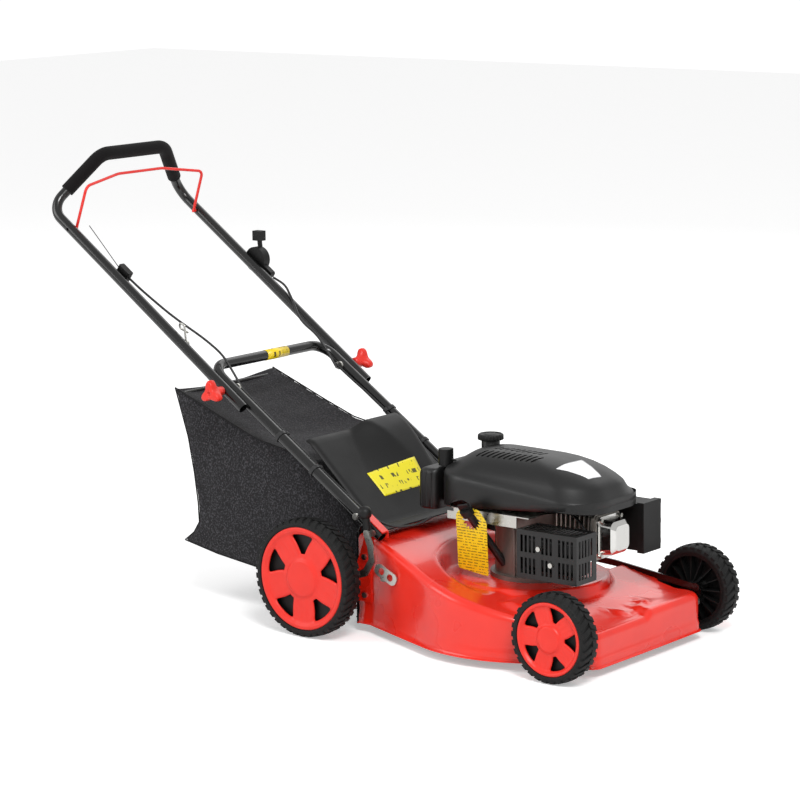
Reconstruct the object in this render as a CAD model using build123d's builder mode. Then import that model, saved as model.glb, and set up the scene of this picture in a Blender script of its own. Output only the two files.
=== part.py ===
from build123d import *
import math
import os

# Walk-behind rotary lawn mower with a pressed steel deck, a vertical-shaft engine, a folding tube
# handle and a rear grass bag. Millimetres. +X is forward, +Y is to the operator's left, +Z is up.
# The origin is on the ground, on the blade's axis.

# ---- driving dimensions ----
running_gap = 0.05           # radial clearance of a shaft in its bearing
body_gap = 0.4               # clearance between separate pieces that don't touch

# wheels
rear_wheel_r = 123.0
front_wheel_r = 89.0
wheel_width = 48.0
wheel_outer_y = 278.0
tyre_depth = 16.0
stub_r = 6.0
rear_wheel_x = -390.0
front_wheel_x = 226.0

# height-adjust cranks: the wheel's axis from the crank's pivot
crank_back = 32.0
crank_up = 14.0
link_pin_up = 28.0
arm_y = 203.0
arm_thick = 8.0
axle_rod_r = 6.0

# deck
deck_wall = 2.0
deck_r = 262.0
deck_rim_z = 18.0
deck_lip = 7.0
deck_low_z = 98.0
deck_rear_x = -325.0
deck_flank_x = -290.0
deck_rear_half = 168.0
deck_nose_x = 276.0
deck_nose_half = 193.0
deck_nose_z = 84.0
nose_slope = 0.22
nose_corner_r = 22.0
volute_slope = 0.235
plateau_left_y = 150.0
plateau_front_x = -110.0
seat_r = 152.0
pocket_r = 186.0
seat_z = 136.0
chute_half = 146.0
chute_bottom_z = 45.0
chute_top_z = 184.0

# handle
tube_r = 11.0
tube_wall = 1.5
lower_leg_y = 182.8
upper_leg_y = 205.3
lower_slope = 0.68
upper_slope = 0.711
fold_x = -646.0
fold_z = 478.0
crossbar_x = -706.0
leg_end_x = -252.0
grip_bend_x = -1140.0
grip_top_x = -1085.0
grip_top_z = 940.0
grip_half = 100.0
foam_r = 15.0
bolt_r = 4.0
plate = 3.0

# engine
flange_r = 92.0
crankcase_r = 80.0
crankcase_top_z = 274.0
crankshaft_r = 12.0
cylinder_z = 237.0
fin_half = 44.0
head_x = 176.0
cover_rear_x = -187.0
cover_front_x = 206.0
cover_half = 113.0
cover_wall = 2.5
cover_corner_r = 80.0
cover_top_z = 389.0
blade_r = 226.0
blade_z = 44.0

# grass bag
bag_half = 163.0
bag_wall = 2.0
bag_mouth_x = -328.0
bag_wire_r = 3.5

# rear door
door_pivot_x = -292.0
door_pivot_z = 218.0
door_half = 158.0
door_rod_r = 3.0

os.makedirs("parts", exist_ok=True)


def save(part, name):
    """Label a finished piece and write it as its own file."""
    part.label = name
    export_step(part, "parts/" + name + ".step")


def side_plane(y):
    """Plane whose sketch x is the mower's X and sketch y is its Z, facing -Y at the given y."""
    return Plane(origin=(0, y, 0), x_dir=(1, 0, 0), z_dir=(0, -1, 0))


def bar(points, width, y_low, y_high):
    """Flat bar of round-ended links that runs through (x, z) points between two y planes."""
    with BuildPart() as link:
        with BuildSketch(side_plane(y_high)):
            for start, end in zip(points, points[1:]):
                length = math.hypot(end[0] - start[0], end[1] - start[1])
                angle = math.degrees(math.atan2(end[1] - start[1], end[0] - start[0]))
                middle = ((start[0] + end[0]) / 2, (start[1] + end[1]) / 2)
                with Locations(Location((middle[0], middle[1], 0), (0, 0, angle))):
                    SlotCenterToCenter(length, width)
        extrude(amount=y_high - y_low)
    return link.part


def pin_y(x, z, radius, y_low, y_high, bore=0.0):
    """Round pin or bush along Y."""
    with BuildPart() as pin:
        with BuildSketch(side_plane(y_high)):
            with Locations((x, z)):
                Circle(radius)
                if bore > 0:
                    Circle(bore, mode=Mode.SUBTRACT)
        extrude(amount=y_high - y_low)
    return pin.part


def wire(points, radii, radius, bore=0.0):
    """Round wire or tube along a filleted path."""
    with BuildPart() as rod:
        with BuildLine() as path:
            FilletPolyline(*points, radius=radii)
        with BuildSketch(Plane(origin=path.line @ 0, z_dir=path.line % 0)):
            Circle(radius)
            if bore > 0:
                Circle(bore, mode=Mode.SUBTRACT)
        sweep()
    return rod.part


def cable_radii(points):
    """Largest arc at each corner of a cable's route: 0.45 of the shorter run, by half the turn."""
    radii = []
    for before, here, after in zip(points, points[1:], points[2:]):
        run_in = Vector(*here) - Vector(*before)
        run_out = Vector(*after) - Vector(*here)
        half_turn = math.radians(run_in.get_angle(run_out)) / 2
        radii.append(0.45 * min(run_in.length, run_out.length) / math.tan(half_turn))
    print("cable radii:", [round(r, 1) for r in radii])
    return radii


def box(x0, x1, y0, y1, z0, z1):
    """Plain block between two corners, not joined to the part being built."""
    centre = ((x0 + x1) / 2, (y0 + y1) / 2, (z0 + z1) / 2)
    return Pos(*centre) * Box(x1 - x0, y1 - y0, z1 - z0, mode=Mode.PRIVATE)


# ---- deck ----
def tangent_point(inset):
    """Where the straight rear flank leaves the round housing."""
    corner_x = deck_flank_x
    corner_y = deck_rear_half - inset
    reach = math.hypot(corner_x, corner_y)
    angle = math.atan2(corner_y, corner_x) - math.acos((deck_r - inset) / reach)
    return ((deck_r - inset) * math.cos(angle), (deck_r - inset) * math.sin(angle))


def deck_outline(inset):
    """Plan view of the housing: round in the middle, narrower at the chute and at the nose."""
    flank_x, flank_y = tangent_point(inset)
    half = deck_rear_half - inset
    rear = deck_rear_x + inset
    with BuildSketch() as outline:
        Circle(deck_r - inset)
        Polygon((rear, -half), (deck_flank_x, -half), (flank_x, -flank_y), (flank_x, flank_y),
                (deck_flank_x, half), (rear, half), align=None)
        with BuildLine():
            nose = deck_nose_x - inset
            nose_half = deck_nose_half - inset
            FilletPolyline((0, -nose_half), (nose, -nose_half), (nose, nose_half), (0, nose_half),
                           radius=nose_corner_r - inset)
            Line((0, nose_half), (0, -nose_half))
        make_face()
    return outline.sketch


def volute_z(x):
    """Height of the grass tunnel's roof, which rises towards the chute."""
    return seat_z - volute_slope * x


def nose_z(x):
    """Height of the nose's roof, which falls towards the front edge."""
    return deck_nose_z + nose_slope * (deck_nose_x - x)


def deck_form(inset, bottom):
    """Solid form of the pressing, or with an inset its hollow."""
    top = 260.0
    back = deck_rear_x - 40
    with BuildPart() as tunnel:
        with BuildSketch(Plane.XY.offset(bottom)):
            add(deck_outline(inset))
            with Locations((0, deck_r)):
                Rectangle(4 * deck_r, 2 * deck_r, mode=Mode.SUBTRACT)
            with BuildLine():
                Polyline((deck_rear_x + inset, -1), (plateau_front_x, -1),
                         (plateau_front_x, plateau_left_y - inset),
                         (deck_rear_x + inset, plateau_left_y - inset), close=True)
            make_face()
        extrude(amount=top - bottom)
        with BuildSketch(side_plane(deck_r + 20)):
            Polygon((back, volute_z(back) - inset), (300, volute_z(300) - inset), (300, top + 10),
                    (300, 500), (back, 500), align=None)
        extrude(amount=2 * deck_r + 40, mode=Mode.SUBTRACT)
        with BuildSketch(Plane.XY.offset(seat_z - inset)):
            Circle(pocket_r + inset)
        extrude(amount=200, mode=Mode.SUBTRACT)
    with BuildPart() as nose:
        with BuildSketch(Plane.XY.offset(bottom)):
            add(deck_outline(inset))
            with Locations((60 - 2 * deck_r, 0)):
                Rectangle(4 * deck_r, 4 * deck_r, mode=Mode.SUBTRACT)
            Rectangle(4 * deck_r, 2 * (deck_nose_half - inset), mode=Mode.INTERSECT)
        extrude(amount=top - bottom)
        with BuildSketch(side_plane(deck_r + 20)):
            Polygon((0, nose_z(0) - inset), (400, nose_z(400) - inset), (400, 500), (0, 500), align=None)
        extrude(amount=2 * deck_r + 40, mode=Mode.SUBTRACT)
    with BuildPart() as form:
        with BuildSketch(Plane.XY.offset(bottom)):
            add(deck_outline(inset))
        extrude(amount=deck_low_z - inset - bottom)
        with BuildSketch(side_plane(deck_r + 20)):
            Polygon((150, nose_z(150) - inset), (400, nose_z(400) - inset), (400, 500), (150, 500), align=None)
        extrude(amount=2 * deck_r + 40, mode=Mode.SUBTRACT)
        add(tunnel.part)
        add(nose.part)
        with BuildSketch(Plane.XY.offset(deck_low_z - 20)):
            Circle(seat_r - inset)
        extrude(amount=seat_z - inset - deck_low_z + 20)
    return form.part


rear_pivot_x = rear_wheel_x + crank_back
rear_pivot_z = rear_wheel_r - crank_up
front_pivot_x = front_wheel_x + crank_back
front_pivot_z = front_wheel_r - crank_up
bush_r = axle_rod_r + 4
lip_thick = 3.0

with BuildPart() as deck_shell:
    add(deck_form(0, deck_rim_z))
    with BuildSketch(Plane.XY.offset(deck_rim_z)):
        add(deck_outline(0))
        offset(amount=deck_lip, kind=Kind.ARC)
    extrude(amount=lip_thick)
    add(deck_form(deck_wall, deck_rim_z - 5), mode=Mode.SUBTRACT)
    add(box(deck_rear_x - 30, deck_rear_x + 12, -chute_half, chute_half, chute_bottom_z, chute_top_z),
        mode=Mode.SUBTRACT)
    with BuildSketch(Plane.XY.offset(seat_z - 20)):
        Circle(crankshaft_r + 14)
    extrude(amount=40, mode=Mode.SUBTRACT)
    with BuildSketch(Plane.XY.offset(seat_z - 20)):
        with PolarLocations(flange_r - 12, 3, 90):
            Circle(4.2)
    extrude(amount=40, mode=Mode.SUBTRACT)
    for side in (-1, 1):
        wall_y = side * deck_nose_half
        add(pin_y(front_pivot_x, front_pivot_z, bush_r, wall_y - 9, wall_y + 9), mode=Mode.SUBTRACT)
save(deck_shell.part, "deck_shell")

# side brackets carry the lower handle, the rear axle, the door rod and the trailing flap
bracket_in = deck_rear_half + 0.1
bracket_out = bracket_in + plate


def leg_z(x):
    """Height of the lower handle's centre line."""
    return fold_z + lower_slope * (fold_x - x)


flap_x = deck_rear_x - 11
flap_z = 108.0
flap_pin_r = 3.0
bracket_back_x = rear_pivot_x - 18
leg_bolt_x = (-309.0, -266.0)

with BuildPart() as handle_brackets:
    for side in (-1, 1):
        near, far = sorted((side * bracket_in, side * bracket_out))
        with BuildSketch(side_plane(far)):
            foot_z = volute_z(deck_flank_x) + 3.5
            Polygon((bracket_back_x, 66), (deck_flank_x - 2, 66), (deck_flank_x - 2, foot_z),
                    (-246, foot_z), (-246, leg_z(-246) + 16), (bracket_back_x, leg_z(bracket_back_x) + 16),
                    align=None)
        extrude(amount=far - near)
        with BuildSketch(side_plane(far + 1)):
            with Locations((rear_pivot_x, rear_pivot_z)):
                Circle(bush_r)
            with Locations((door_pivot_x, door_pivot_z)):
                Circle(door_rod_r + running_gap)
            with Locations((flap_x, flap_z)):
                Circle(flap_pin_r + running_gap)
            with Locations(*[(x, leg_z(x)) for x in leg_bolt_x]):
                Circle(bolt_r)
        extrude(amount=plate + 2, mode=Mode.SUBTRACT)
        # folded edge along the top of the leg
        fold_in, fold_out = sorted((side * bracket_out, side * (bracket_out + 2 * tube_r - 4)))
        with BuildSketch(side_plane(fold_out)):
            Polygon((-246, leg_z(-246) + 14), (-246, leg_z(-246) + 16.5),
                    (bracket_back_x + 20, leg_z(bracket_back_x + 20) + 16.5),
                    (bracket_back_x + 20, leg_z(bracket_back_x + 20) + 14), align=None)
        extrude(amount=fold_out - fold_in)
save(handle_brackets.part, "handle_brackets")

with BuildPart() as axle_bearings:
    for side in (-1, 1):
        for x, z, middle in ((rear_pivot_x, rear_pivot_z, bracket_in + plate / 2),
                             (front_pivot_x, front_pivot_z, deck_nose_half - deck_wall / 2)):
            add(pin_y(x, z, bush_r, side * middle - 4, side * middle + 4, axle_rod_r + running_gap))
save(axle_bearings.part, "axle_bearings")

# trailing flap: hangs behind the chute and swings back
with BuildPart() as rear_flap:
    add(pin_y(flap_x, flap_z, 6, -bracket_in + 1.5, bracket_in - 1.5))
    add(pin_y(flap_x, flap_z, flap_pin_r, -bracket_out, bracket_out))
    add(box(flap_x - 1.5, flap_x + 1.5, -bracket_in + 6, bracket_in - 6, 14, flap_z - 4))
    for row in range(4):
        add(box(flap_x - 3, flap_x + 1.5, -bracket_in + 6, bracket_in - 6, 26 + 18 * row, 29 + 18 * row))
save(rear_flap.part, "rear_flap")

# ---- height adjustment ----
arm_out = arm_y + arm_thick
lever_points = [(rear_pivot_x, rear_pivot_z), (-272, 140), (-254, 168), (-258, 196), (-268, 222)]
hub_inner_y = wheel_outer_y - wheel_width - 14


def axle(x, z, link_side):
    """Crank axle: a rod in two bearings, an arm at each end and a stub for each wheel."""
    with BuildPart() as crank:
        add(pin_y(x, z, axle_rod_r, -arm_out, arm_out))
        for side in (-1, 1):
            low, high = sorted((side * arm_y, side * arm_out))
            add(bar([(x, z), (x - crank_back, z + crank_up)], 22, low, high))
            low, high = sorted((side * arm_y, side * (wheel_outer_y - 18)))
            add(pin_y(x - crank_back, z + crank_up, stub_r, low, high))
        add(bar([(x, z), (x, z + link_pin_up)], 16, link_side * arm_y, link_side * arm_out))
        add(pin_y(x, z + link_pin_up, 3, link_side * arm_y - 8, link_side * arm_out))
    return crank.part


save(axle(rear_pivot_x, rear_pivot_z, 1), "rear_axle")
save(axle(front_pivot_x, front_pivot_z, 1), "front_axle")

link_out = arm_y - 3
link_in = link_out - 4
link_bow = 13.0
link_crest_x = (-170.0, 60.0)
with BuildPart() as height_link:
    link_slope = (front_pivot_z - rear_pivot_z) / (front_pivot_x - rear_pivot_x)
    crests = [(x, rear_pivot_z + link_pin_up + link_slope * (x - rear_pivot_x) + link_bow) for x in link_crest_x]
    add(bar([(rear_pivot_x, rear_pivot_z + link_pin_up), *crests, (front_pivot_x, front_pivot_z + link_pin_up)],
            13, link_in, link_out))
    for x, z in ((rear_pivot_x, rear_pivot_z), (front_pivot_x, front_pivot_z)):
        add(pin_y(x, z + link_pin_up, 8, link_in, link_out))
        pin_clearance = running_gap if x == rear_pivot_x else 0.4
        add(pin_y(x, z + link_pin_up, 3 + pin_clearance, link_in - 1, link_out + 1), mode=Mode.SUBTRACT)
save(height_link.part, "height_link")

lever_in = arm_out
lever_out = arm_out + 3.5
with BuildPart() as height_lever:
    add(bar(lever_points, 15, -lever_out, -lever_in))
    add(pin_y(rear_pivot_x, rear_pivot_z, 14, -lever_out, -lever_in))
save(height_lever.part, "height_lever")

grip_foot = lever_points[-1]
with BuildPart() as lever_grip:
    with BuildSketch(Plane(origin=(grip_foot[0] + 2, -(lever_in + lever_out) / 2, grip_foot[1] + 8),
                           x_dir=(0, 1, 0), z_dir=(-0.12, 0, 1))):
        Circle(8)
    extrude(amount=42)
    fillet(lever_grip.edges().filter_by(GeomType.CIRCLE).sort_by(Axis.Z)[0], 2)
    with Locations((grip_foot[0] - 3.5, -(lever_in + lever_out) / 2, grip_foot[1] + 42)):
        Sphere(14.5)
save(lever_grip.part, "lever_grip")

quadrant_out = lever_in - 0.5
quadrant_in = quadrant_out - 3
with BuildPart() as height_quadrant:
    with BuildSketch(side_plane(-quadrant_in)):
        with Locations(Location((-222, 142, 0), (0, 0, -25))):
            RectangleRounded(58, 26, 11)
        with Locations(Location((-222, 142, 0), (0, 0, -25))):
            with GridLocations(24, 0, 2, 1):
                Circle(7.5, mode=Mode.SUBTRACT)
    extrude(amount=quadrant_out - quadrant_in)
    flank = Vector(*tangent_point(0)) - Vector(deck_flank_x, deck_rear_half)
    foot_x = -232.0
    foot_y = deck_rear_half + (foot_x - deck_flank_x) * flank.Y / flank.X
    add(box(foot_x - 5, foot_x + 5, -quadrant_in - 0.5, -foot_y - 2.1, 126, 136))
save(height_quadrant.part, "height_quadrant")


# ---- wheels ----
def tyre(x, radius, side):
    """Rubber tyre with rounded shoulders."""
    outer = side * wheel_outer_y
    inner = side * (wheel_outer_y - wheel_width)
    seat = radius - tyre_depth
    with BuildPart() as ring:
        with BuildSketch(Plane.YZ):
            with BuildLine():
                Polyline((inner, seat), (inner, radius - 7))
                Bezier((inner, radius - 7), (inner, radius - 1.5), (inner + side * 8, radius))
                Line((inner + side * 8, radius), (outer - side * 8, radius))
                Bezier((outer - side * 8, radius), (outer, radius - 1.5), (outer, radius - 7))
                Polyline((outer, radius - 7), (outer, seat), (inner, seat))
            make_face()
        revolve(axis=Axis.Y)
    return Pos(x, 0, radius) * ring.part


def rim(x, radius, side):
    """Moulded wheel with a channel rim, a flat web with five windows and a long hub."""
    seat = radius - tyre_depth
    outer = side * (wheel_outer_y - 2)
    inner = side * (wheel_outer_y - wheel_width + 2)
    channel = seat - 8
    hub = 0.33 * seat
    face = outer - side * 5
    with BuildPart() as disc:
        with BuildSketch(Plane.YZ):
            with BuildLine():
                Polyline((inner, seat), (outer, seat), (outer, seat - 5), (face, channel), (face, hub),
                         (outer, hub - 5), (outer, 0), (outer - side * 11, 0),
                         (outer - side * 11, hub - 16), (face - side * 6, hub - 4),
                         (face - side * 6, channel - 1), (inner, channel), close=True)
            make_face()
        revolve(axis=Axis.Y)
        low, high = sorted((side * hub_inner_y, outer - side * 3))
        add(pin_y(0, 0, 15, low, high))
        low, high = sorted((side * (hub_inner_y - 2), side * (wheel_outer_y - 18) + side * 0.5))
        add(pin_y(0, 0, stub_r + running_gap, low, high), mode=Mode.SUBTRACT)
        window_mid = (channel + hub) / 2 + 3
        with BuildSketch(side_plane(max(outer, face - side * 12) + 2)):
            with PolarLocations(0, 5, 18):
                with BuildLine(mode=Mode.PRIVATE) as arch:
                    FilletPolyline((channel - 4, -0.30 * channel), (channel - 4, 0.30 * channel),
                                   (hub + 5, 0), radius=7, close=True)
                add(make_face(arch.edges(), mode=Mode.PRIVATE))
        extrude(amount=24, mode=Mode.SUBTRACT)
    return Pos(x, 0, radius) * disc.part


for end, x, radius in (("rear", rear_wheel_x, rear_wheel_r), ("front", front_wheel_x, front_wheel_r)):
    for hand, side in (("left", 1), ("right", -1)):
        save(tyre(x, radius, side), end + "_" + hand + "_tyre")
        save(rim(x, radius, side), end + "_" + hand + "_rim")


# ---- handle ----
def upper_z(x):
    """Height of the upper handle's centre line."""
    return fold_z + upper_slope * (fold_x - x)


crossbar_z = leg_z(crossbar_x)
lower_points = [(leg_end_x, -lower_leg_y, leg_z(leg_end_x)), (crossbar_x, -lower_leg_y, crossbar_z),
                (crossbar_x, lower_leg_y, crossbar_z), (leg_end_x, lower_leg_y, leg_z(leg_end_x))]
with BuildPart() as lower_handle:
    add(wire(lower_points, 42, tube_r, tube_r - tube_wall))
    for side in (-1, 1):
        low, high = sorted((side * (lower_leg_y - 20), side * (lower_leg_y + 20)))
        add(pin_y(fold_x, fold_z, bolt_r, low, high), mode=Mode.SUBTRACT)
        for x in leg_bolt_x:
            add(pin_y(x, leg_z(x), bolt_r, low, high), mode=Mode.SUBTRACT)
save(lower_handle.part, "lower_handle")

upper_end_x = fold_x + 48
grip_bend_z = upper_z(grip_bend_x)
upper_points = [(upper_end_x, -upper_leg_y, upper_z(upper_end_x)), (grip_bend_x, -upper_leg_y, grip_bend_z),
                (grip_top_x, -grip_half, grip_top_z), (grip_top_x, grip_half, grip_top_z),
                (grip_bend_x, upper_leg_y, grip_bend_z), (upper_end_x, upper_leg_y, upper_z(upper_end_x))]
grip_radii = [42, 45, 45, 42]
pivot_bore = bolt_r + running_gap
bail_pivot_x = -1081.0
bail_pivot_z = upper_z(bail_pivot_x)
bail_wire_r = 3.2
with BuildPart() as upper_handle:
    add(wire(upper_points, grip_radii, tube_r, tube_r - tube_wall))
    for side in (-1, 1):
        low, high = sorted((side * (upper_leg_y - 20), side * (upper_leg_y + 20)))
        add(pin_y(fold_x, fold_z, pivot_bore, low, high), mode=Mode.SUBTRACT)
        add(pin_y(bail_pivot_x, bail_pivot_z, bail_wire_r + running_gap, low, high), mode=Mode.SUBTRACT)
save(upper_handle.part, "upper_handle")

# foam sleeve over the top loop
foam_start = 0.32
foam_low = (grip_bend_x + foam_start * (grip_top_x - grip_bend_x),
            upper_leg_y + foam_start * (grip_half - upper_leg_y),
            grip_bend_z + foam_start * (grip_top_z - grip_bend_z))
foam_points = [(foam_low[0], -foam_low[1], foam_low[2]), (grip_top_x, -grip_half, grip_top_z),
               (grip_top_x, grip_half, grip_top_z), foam_low]
with BuildPart() as foam_grip:
    add(wire(foam_points, 45, foam_r, tube_r + 0.1))
save(foam_grip.part, "foam_grip")

# ---- fold bolts and clamp knobs ----
knob_in = upper_leg_y + tube_r + 1.0
knob_out = knob_in + 42
bolt_head_y = lower_leg_y - tube_r - 5
with BuildPart() as clamp_bolts:
    for side in (-1, 1):
        low, high = sorted((side * (bolt_head_y + 4.5), side * (knob_out - 8)))
        add(pin_y(fold_x, fold_z, bolt_r, low, high))
        low, high = sorted((side * bolt_head_y, side * (bolt_head_y + 4.6)))
        add(pin_y(fold_x, fold_z, 9, low, high))
save(clamp_bolts.part, "clamp_bolts")


def knob(side):
    """Three-lobed hand knob with a threaded hub."""
    low, high = sorted((side * (knob_out - 17), side * knob_out))
    with BuildPart() as grip:
        with BuildSketch(side_plane(high)):
            with Locations((fold_x, fold_z)):
                Circle(13)
            for turn in range(3):
                angle = math.radians(95 + 120 * turn)
                lobe = (fold_x + 17 * math.cos(angle), fold_z + 17 * math.sin(angle))
                with Locations(lobe):
                    Circle(9.5)
        extrude(amount=high - low)
        low, high = sorted((side * knob_in, side * (knob_out - 10)))
        add(pin_y(fold_x, fold_z, 10, low, high))
        low, high = sorted((side * (knob_in - 1), side * (knob_out - 8 + 0.4)))
        add(pin_y(fold_x, fold_z, pivot_bore, low, high), mode=Mode.SUBTRACT)
    return grip.part


save(knob(1), "left_knob")
save(knob(-1), "right_knob")

# ---- engine-brake bail ----
bail_arm_y = upper_leg_y - tube_r - 6
bail_corner = (28.0, 92.0)
bail_middle = (12.0, 108.0)
bail_side = [(bail_pivot_x, bail_arm_y, bail_pivot_z),
             (bail_pivot_x + bail_corner[0] + 4, bail_arm_y - 2, bail_pivot_z + bail_corner[1]),
             (bail_pivot_x + bail_middle[0] + 4, 70.0, bail_pivot_z + bail_middle[1])]
bail_points = [(x, -y, z) for x, y, z in bail_side] + bail_side[::-1]
with BuildPart() as bail:
    add(wire(bail_points, [14, 60, 60, 14], bail_wire_r))
    for side in (-1, 1):
        low, high = sorted((side * (bail_arm_y - 2), side * (upper_leg_y + 4)))
        add(pin_y(bail_pivot_x, bail_pivot_z, bail_wire_r, low, high))
save(bail.part, "bail")

# ---- controls on the upper handle ----
upper_angle = math.degrees(math.atan(upper_slope))


def along_upper(x, y, up):
    """Plane on the upper handle at x: its x runs down the leg, its z stands up from the leg."""
    down = Vector(1, 0, -upper_slope).normalized()
    normal = Vector(upper_slope, 0, 1).normalized()
    origin = Vector(x, y, upper_z(x)) + normal * up
    return Plane(origin=origin, x_dir=down, z_dir=normal)


bracket_x = -950.0
with BuildPart() as bail_cable_bracket:
    with BuildSketch(along_upper(bracket_x, -upper_leg_y, -6)):
        with Locations((0, tube_r + 9)):
            RectangleRounded(34, 16, 3)
    extrude(amount=24)
    with BuildSketch(along_upper(bracket_x, -upper_leg_y, -4)):
        with Locations((0, tube_r + 0.9)):
            Rectangle(14, 1.2)
    extrude(amount=8)
save(bail_cable_bracket.part, "bail_cable_bracket")

throttle_x = -926.0
throttle_z = upper_z(throttle_x) + 8
throttle_in = upper_leg_y + tube_r + 0.3
throttle_out = throttle_in + 20
lever_gap = 0.4
with BuildPart() as throttle_housing:
    add(pin_y(throttle_x, throttle_z, 28, throttle_in, throttle_out))
    with BuildSketch(side_plane(throttle_in + 14)):
        with Locations(Location((throttle_x + 26, throttle_z - 21, 0), (0, 0, -upper_angle))):
            RectangleRounded(46, 16, 5)
    extrude(amount=14)
    add(pin_y(throttle_x, throttle_z, 4, throttle_out - 1, throttle_out + 8))
save(throttle_housing.part, "throttle_housing")

with BuildPart() as throttle_lever:
    low, high = throttle_out + lever_gap, throttle_out + lever_gap + 6
    add(pin_y(throttle_x, throttle_z, 14, low, high))
    add(bar([(throttle_x, throttle_z), (throttle_x - 5, throttle_z + 44)], 9, low, high))
    add(box(throttle_x - 18, throttle_x + 6, low - 6, high + 6, throttle_z + 40, throttle_z + 62))
    add(pin_y(throttle_x, throttle_z, 4 + running_gap, low - 1, high + 1), mode=Mode.SUBTRACT)
save(throttle_lever.part, "throttle_lever")

guide_x = -766.0
guide_z = upper_z(guide_x)
guide_y = -(upper_leg_y - tube_r - 3)
with BuildPart() as rope_guide:
    add(wire([(guide_x, guide_y, guide_z - 6), (guide_x - 5, guide_y, guide_z + 38),
              (guide_x - 22, guide_y, guide_z + 46), (guide_x - 20, guide_y + 4, guide_z + 30),
              (guide_x - 2, guide_y + 8, guide_z + 22)], [4, 7, 7], 2.2))
    add(pin_y(guide_x, guide_z, 6, guide_y - 2.6, guide_y + 3))
save(rope_guide.part, "rope_guide")

# ---- control cables: each half ends beside the other at the fold's axis ----
cable_r = 2.5
cable_y = bolt_head_y - 5.0
fold_step = 2 * cable_r + 0.3
upper_in_y = upper_leg_y - tube_r - cable_r - 0.4
bail_cable_z = 6.0


def on_upper(x, down, y, up):
    """Point beside the upper handle: from x, so far down the leg and so far up from it."""
    where = along_upper(x, y, up)
    point = where.origin + where.x_dir * down
    return (point.X, point.Y, point.Z)


block_half = 17.0
bail_cable_top = [(bail_pivot_x + 30, -(bail_arm_y - 9), bail_pivot_z + 6),
                  (bail_pivot_x + 70, -(upper_in_y - 5), upper_z(bail_pivot_x + 70) + 24),
                  on_upper(bracket_x, -block_half - 0.5, -(upper_leg_y - 20), bail_cable_z)]
over_bar = [(-745, 570), (-695, 541), (-662, 500), (fold_x + 3, fold_z - 4)]
bail_cable_bottom = [on_upper(bracket_x, (block_half + 0.5), -(upper_leg_y - 20), bail_cable_z),
                     on_upper(bracket_x, 60, -(upper_leg_y - 20), bail_cable_z + 2),
                     on_upper(bracket_x, 150, -(upper_leg_y - 28), bail_cable_z + 6)]
bail_cable_bottom += [(x, fold_step - cable_y, z) for x, z in over_bar]
throttle_cable_top = [(throttle_x + 50, throttle_in + 6, throttle_z - 38),
                      (throttle_x + 88, throttle_in + 1, upper_z(throttle_x + 88) + 20),
                      (throttle_x + 132, upper_leg_y - 14, upper_z(throttle_x + 132) + 21)]
throttle_cable_top += [(x, cable_y - fold_step, z) for x, z in over_bar]


def cable(points):
    """Sheathed cable held along its whole route."""
    return wire(points, cable_radii(points), cable_r)


with BuildPart() as upper_cables:
    add(wire(bail_cable_top, cable_radii(bail_cable_top), 0.9))
    add(cable(bail_cable_bottom))
    add(cable(throttle_cable_top))
save(upper_cables.part, "upper_cables")

plate_top_z = crankcase_top_z + 2
cable_rise = 3.0
lower_angle = math.atan(lower_slope)
lower_in_y = bracket_in - cable_r - 0.5
lower_run = [(fold_x - 4, cable_y, fold_z + 4), (-610, cable_y + 1, leg_z(-610) + 1),
             (-560, lower_in_y, leg_z(-560) + cable_rise), (-350, lower_in_y, leg_z(-350) + cable_rise),
             (-290, lower_in_y - 2, 240), (-245, lower_in_y - 12, 226), (-205, 124, 232), (-180, 108, 249)]
with BuildPart() as lower_cables:
    for side in (-1, 1):
        add(cable([(x, side * y, z) for x, y, z in lower_run]))
save(lower_cables.part, "lower_cables")

clip_x = (-520.0, -430.0)
with BuildPart() as cable_clips:
    for side in (-1, 1):
        for x in clip_x:
            with BuildSketch(Plane(origin=(x, side * lower_leg_y, leg_z(x)), x_dir=(0, 1, 0),
                                   z_dir=(1, 0, -lower_slope))):
                Circle(tube_r + 2.2)
                Circle(tube_r, mode=Mode.SUBTRACT)
                with Locations((-side * (lower_leg_y - lower_in_y), cable_rise * math.cos(lower_angle))):
                    Circle(cable_r + 2.7)
                    Circle(cable_r + 0.2, mode=Mode.SUBTRACT)
            extrude(amount=8)
save(cable_clips.part, "cable_clips")

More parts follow.
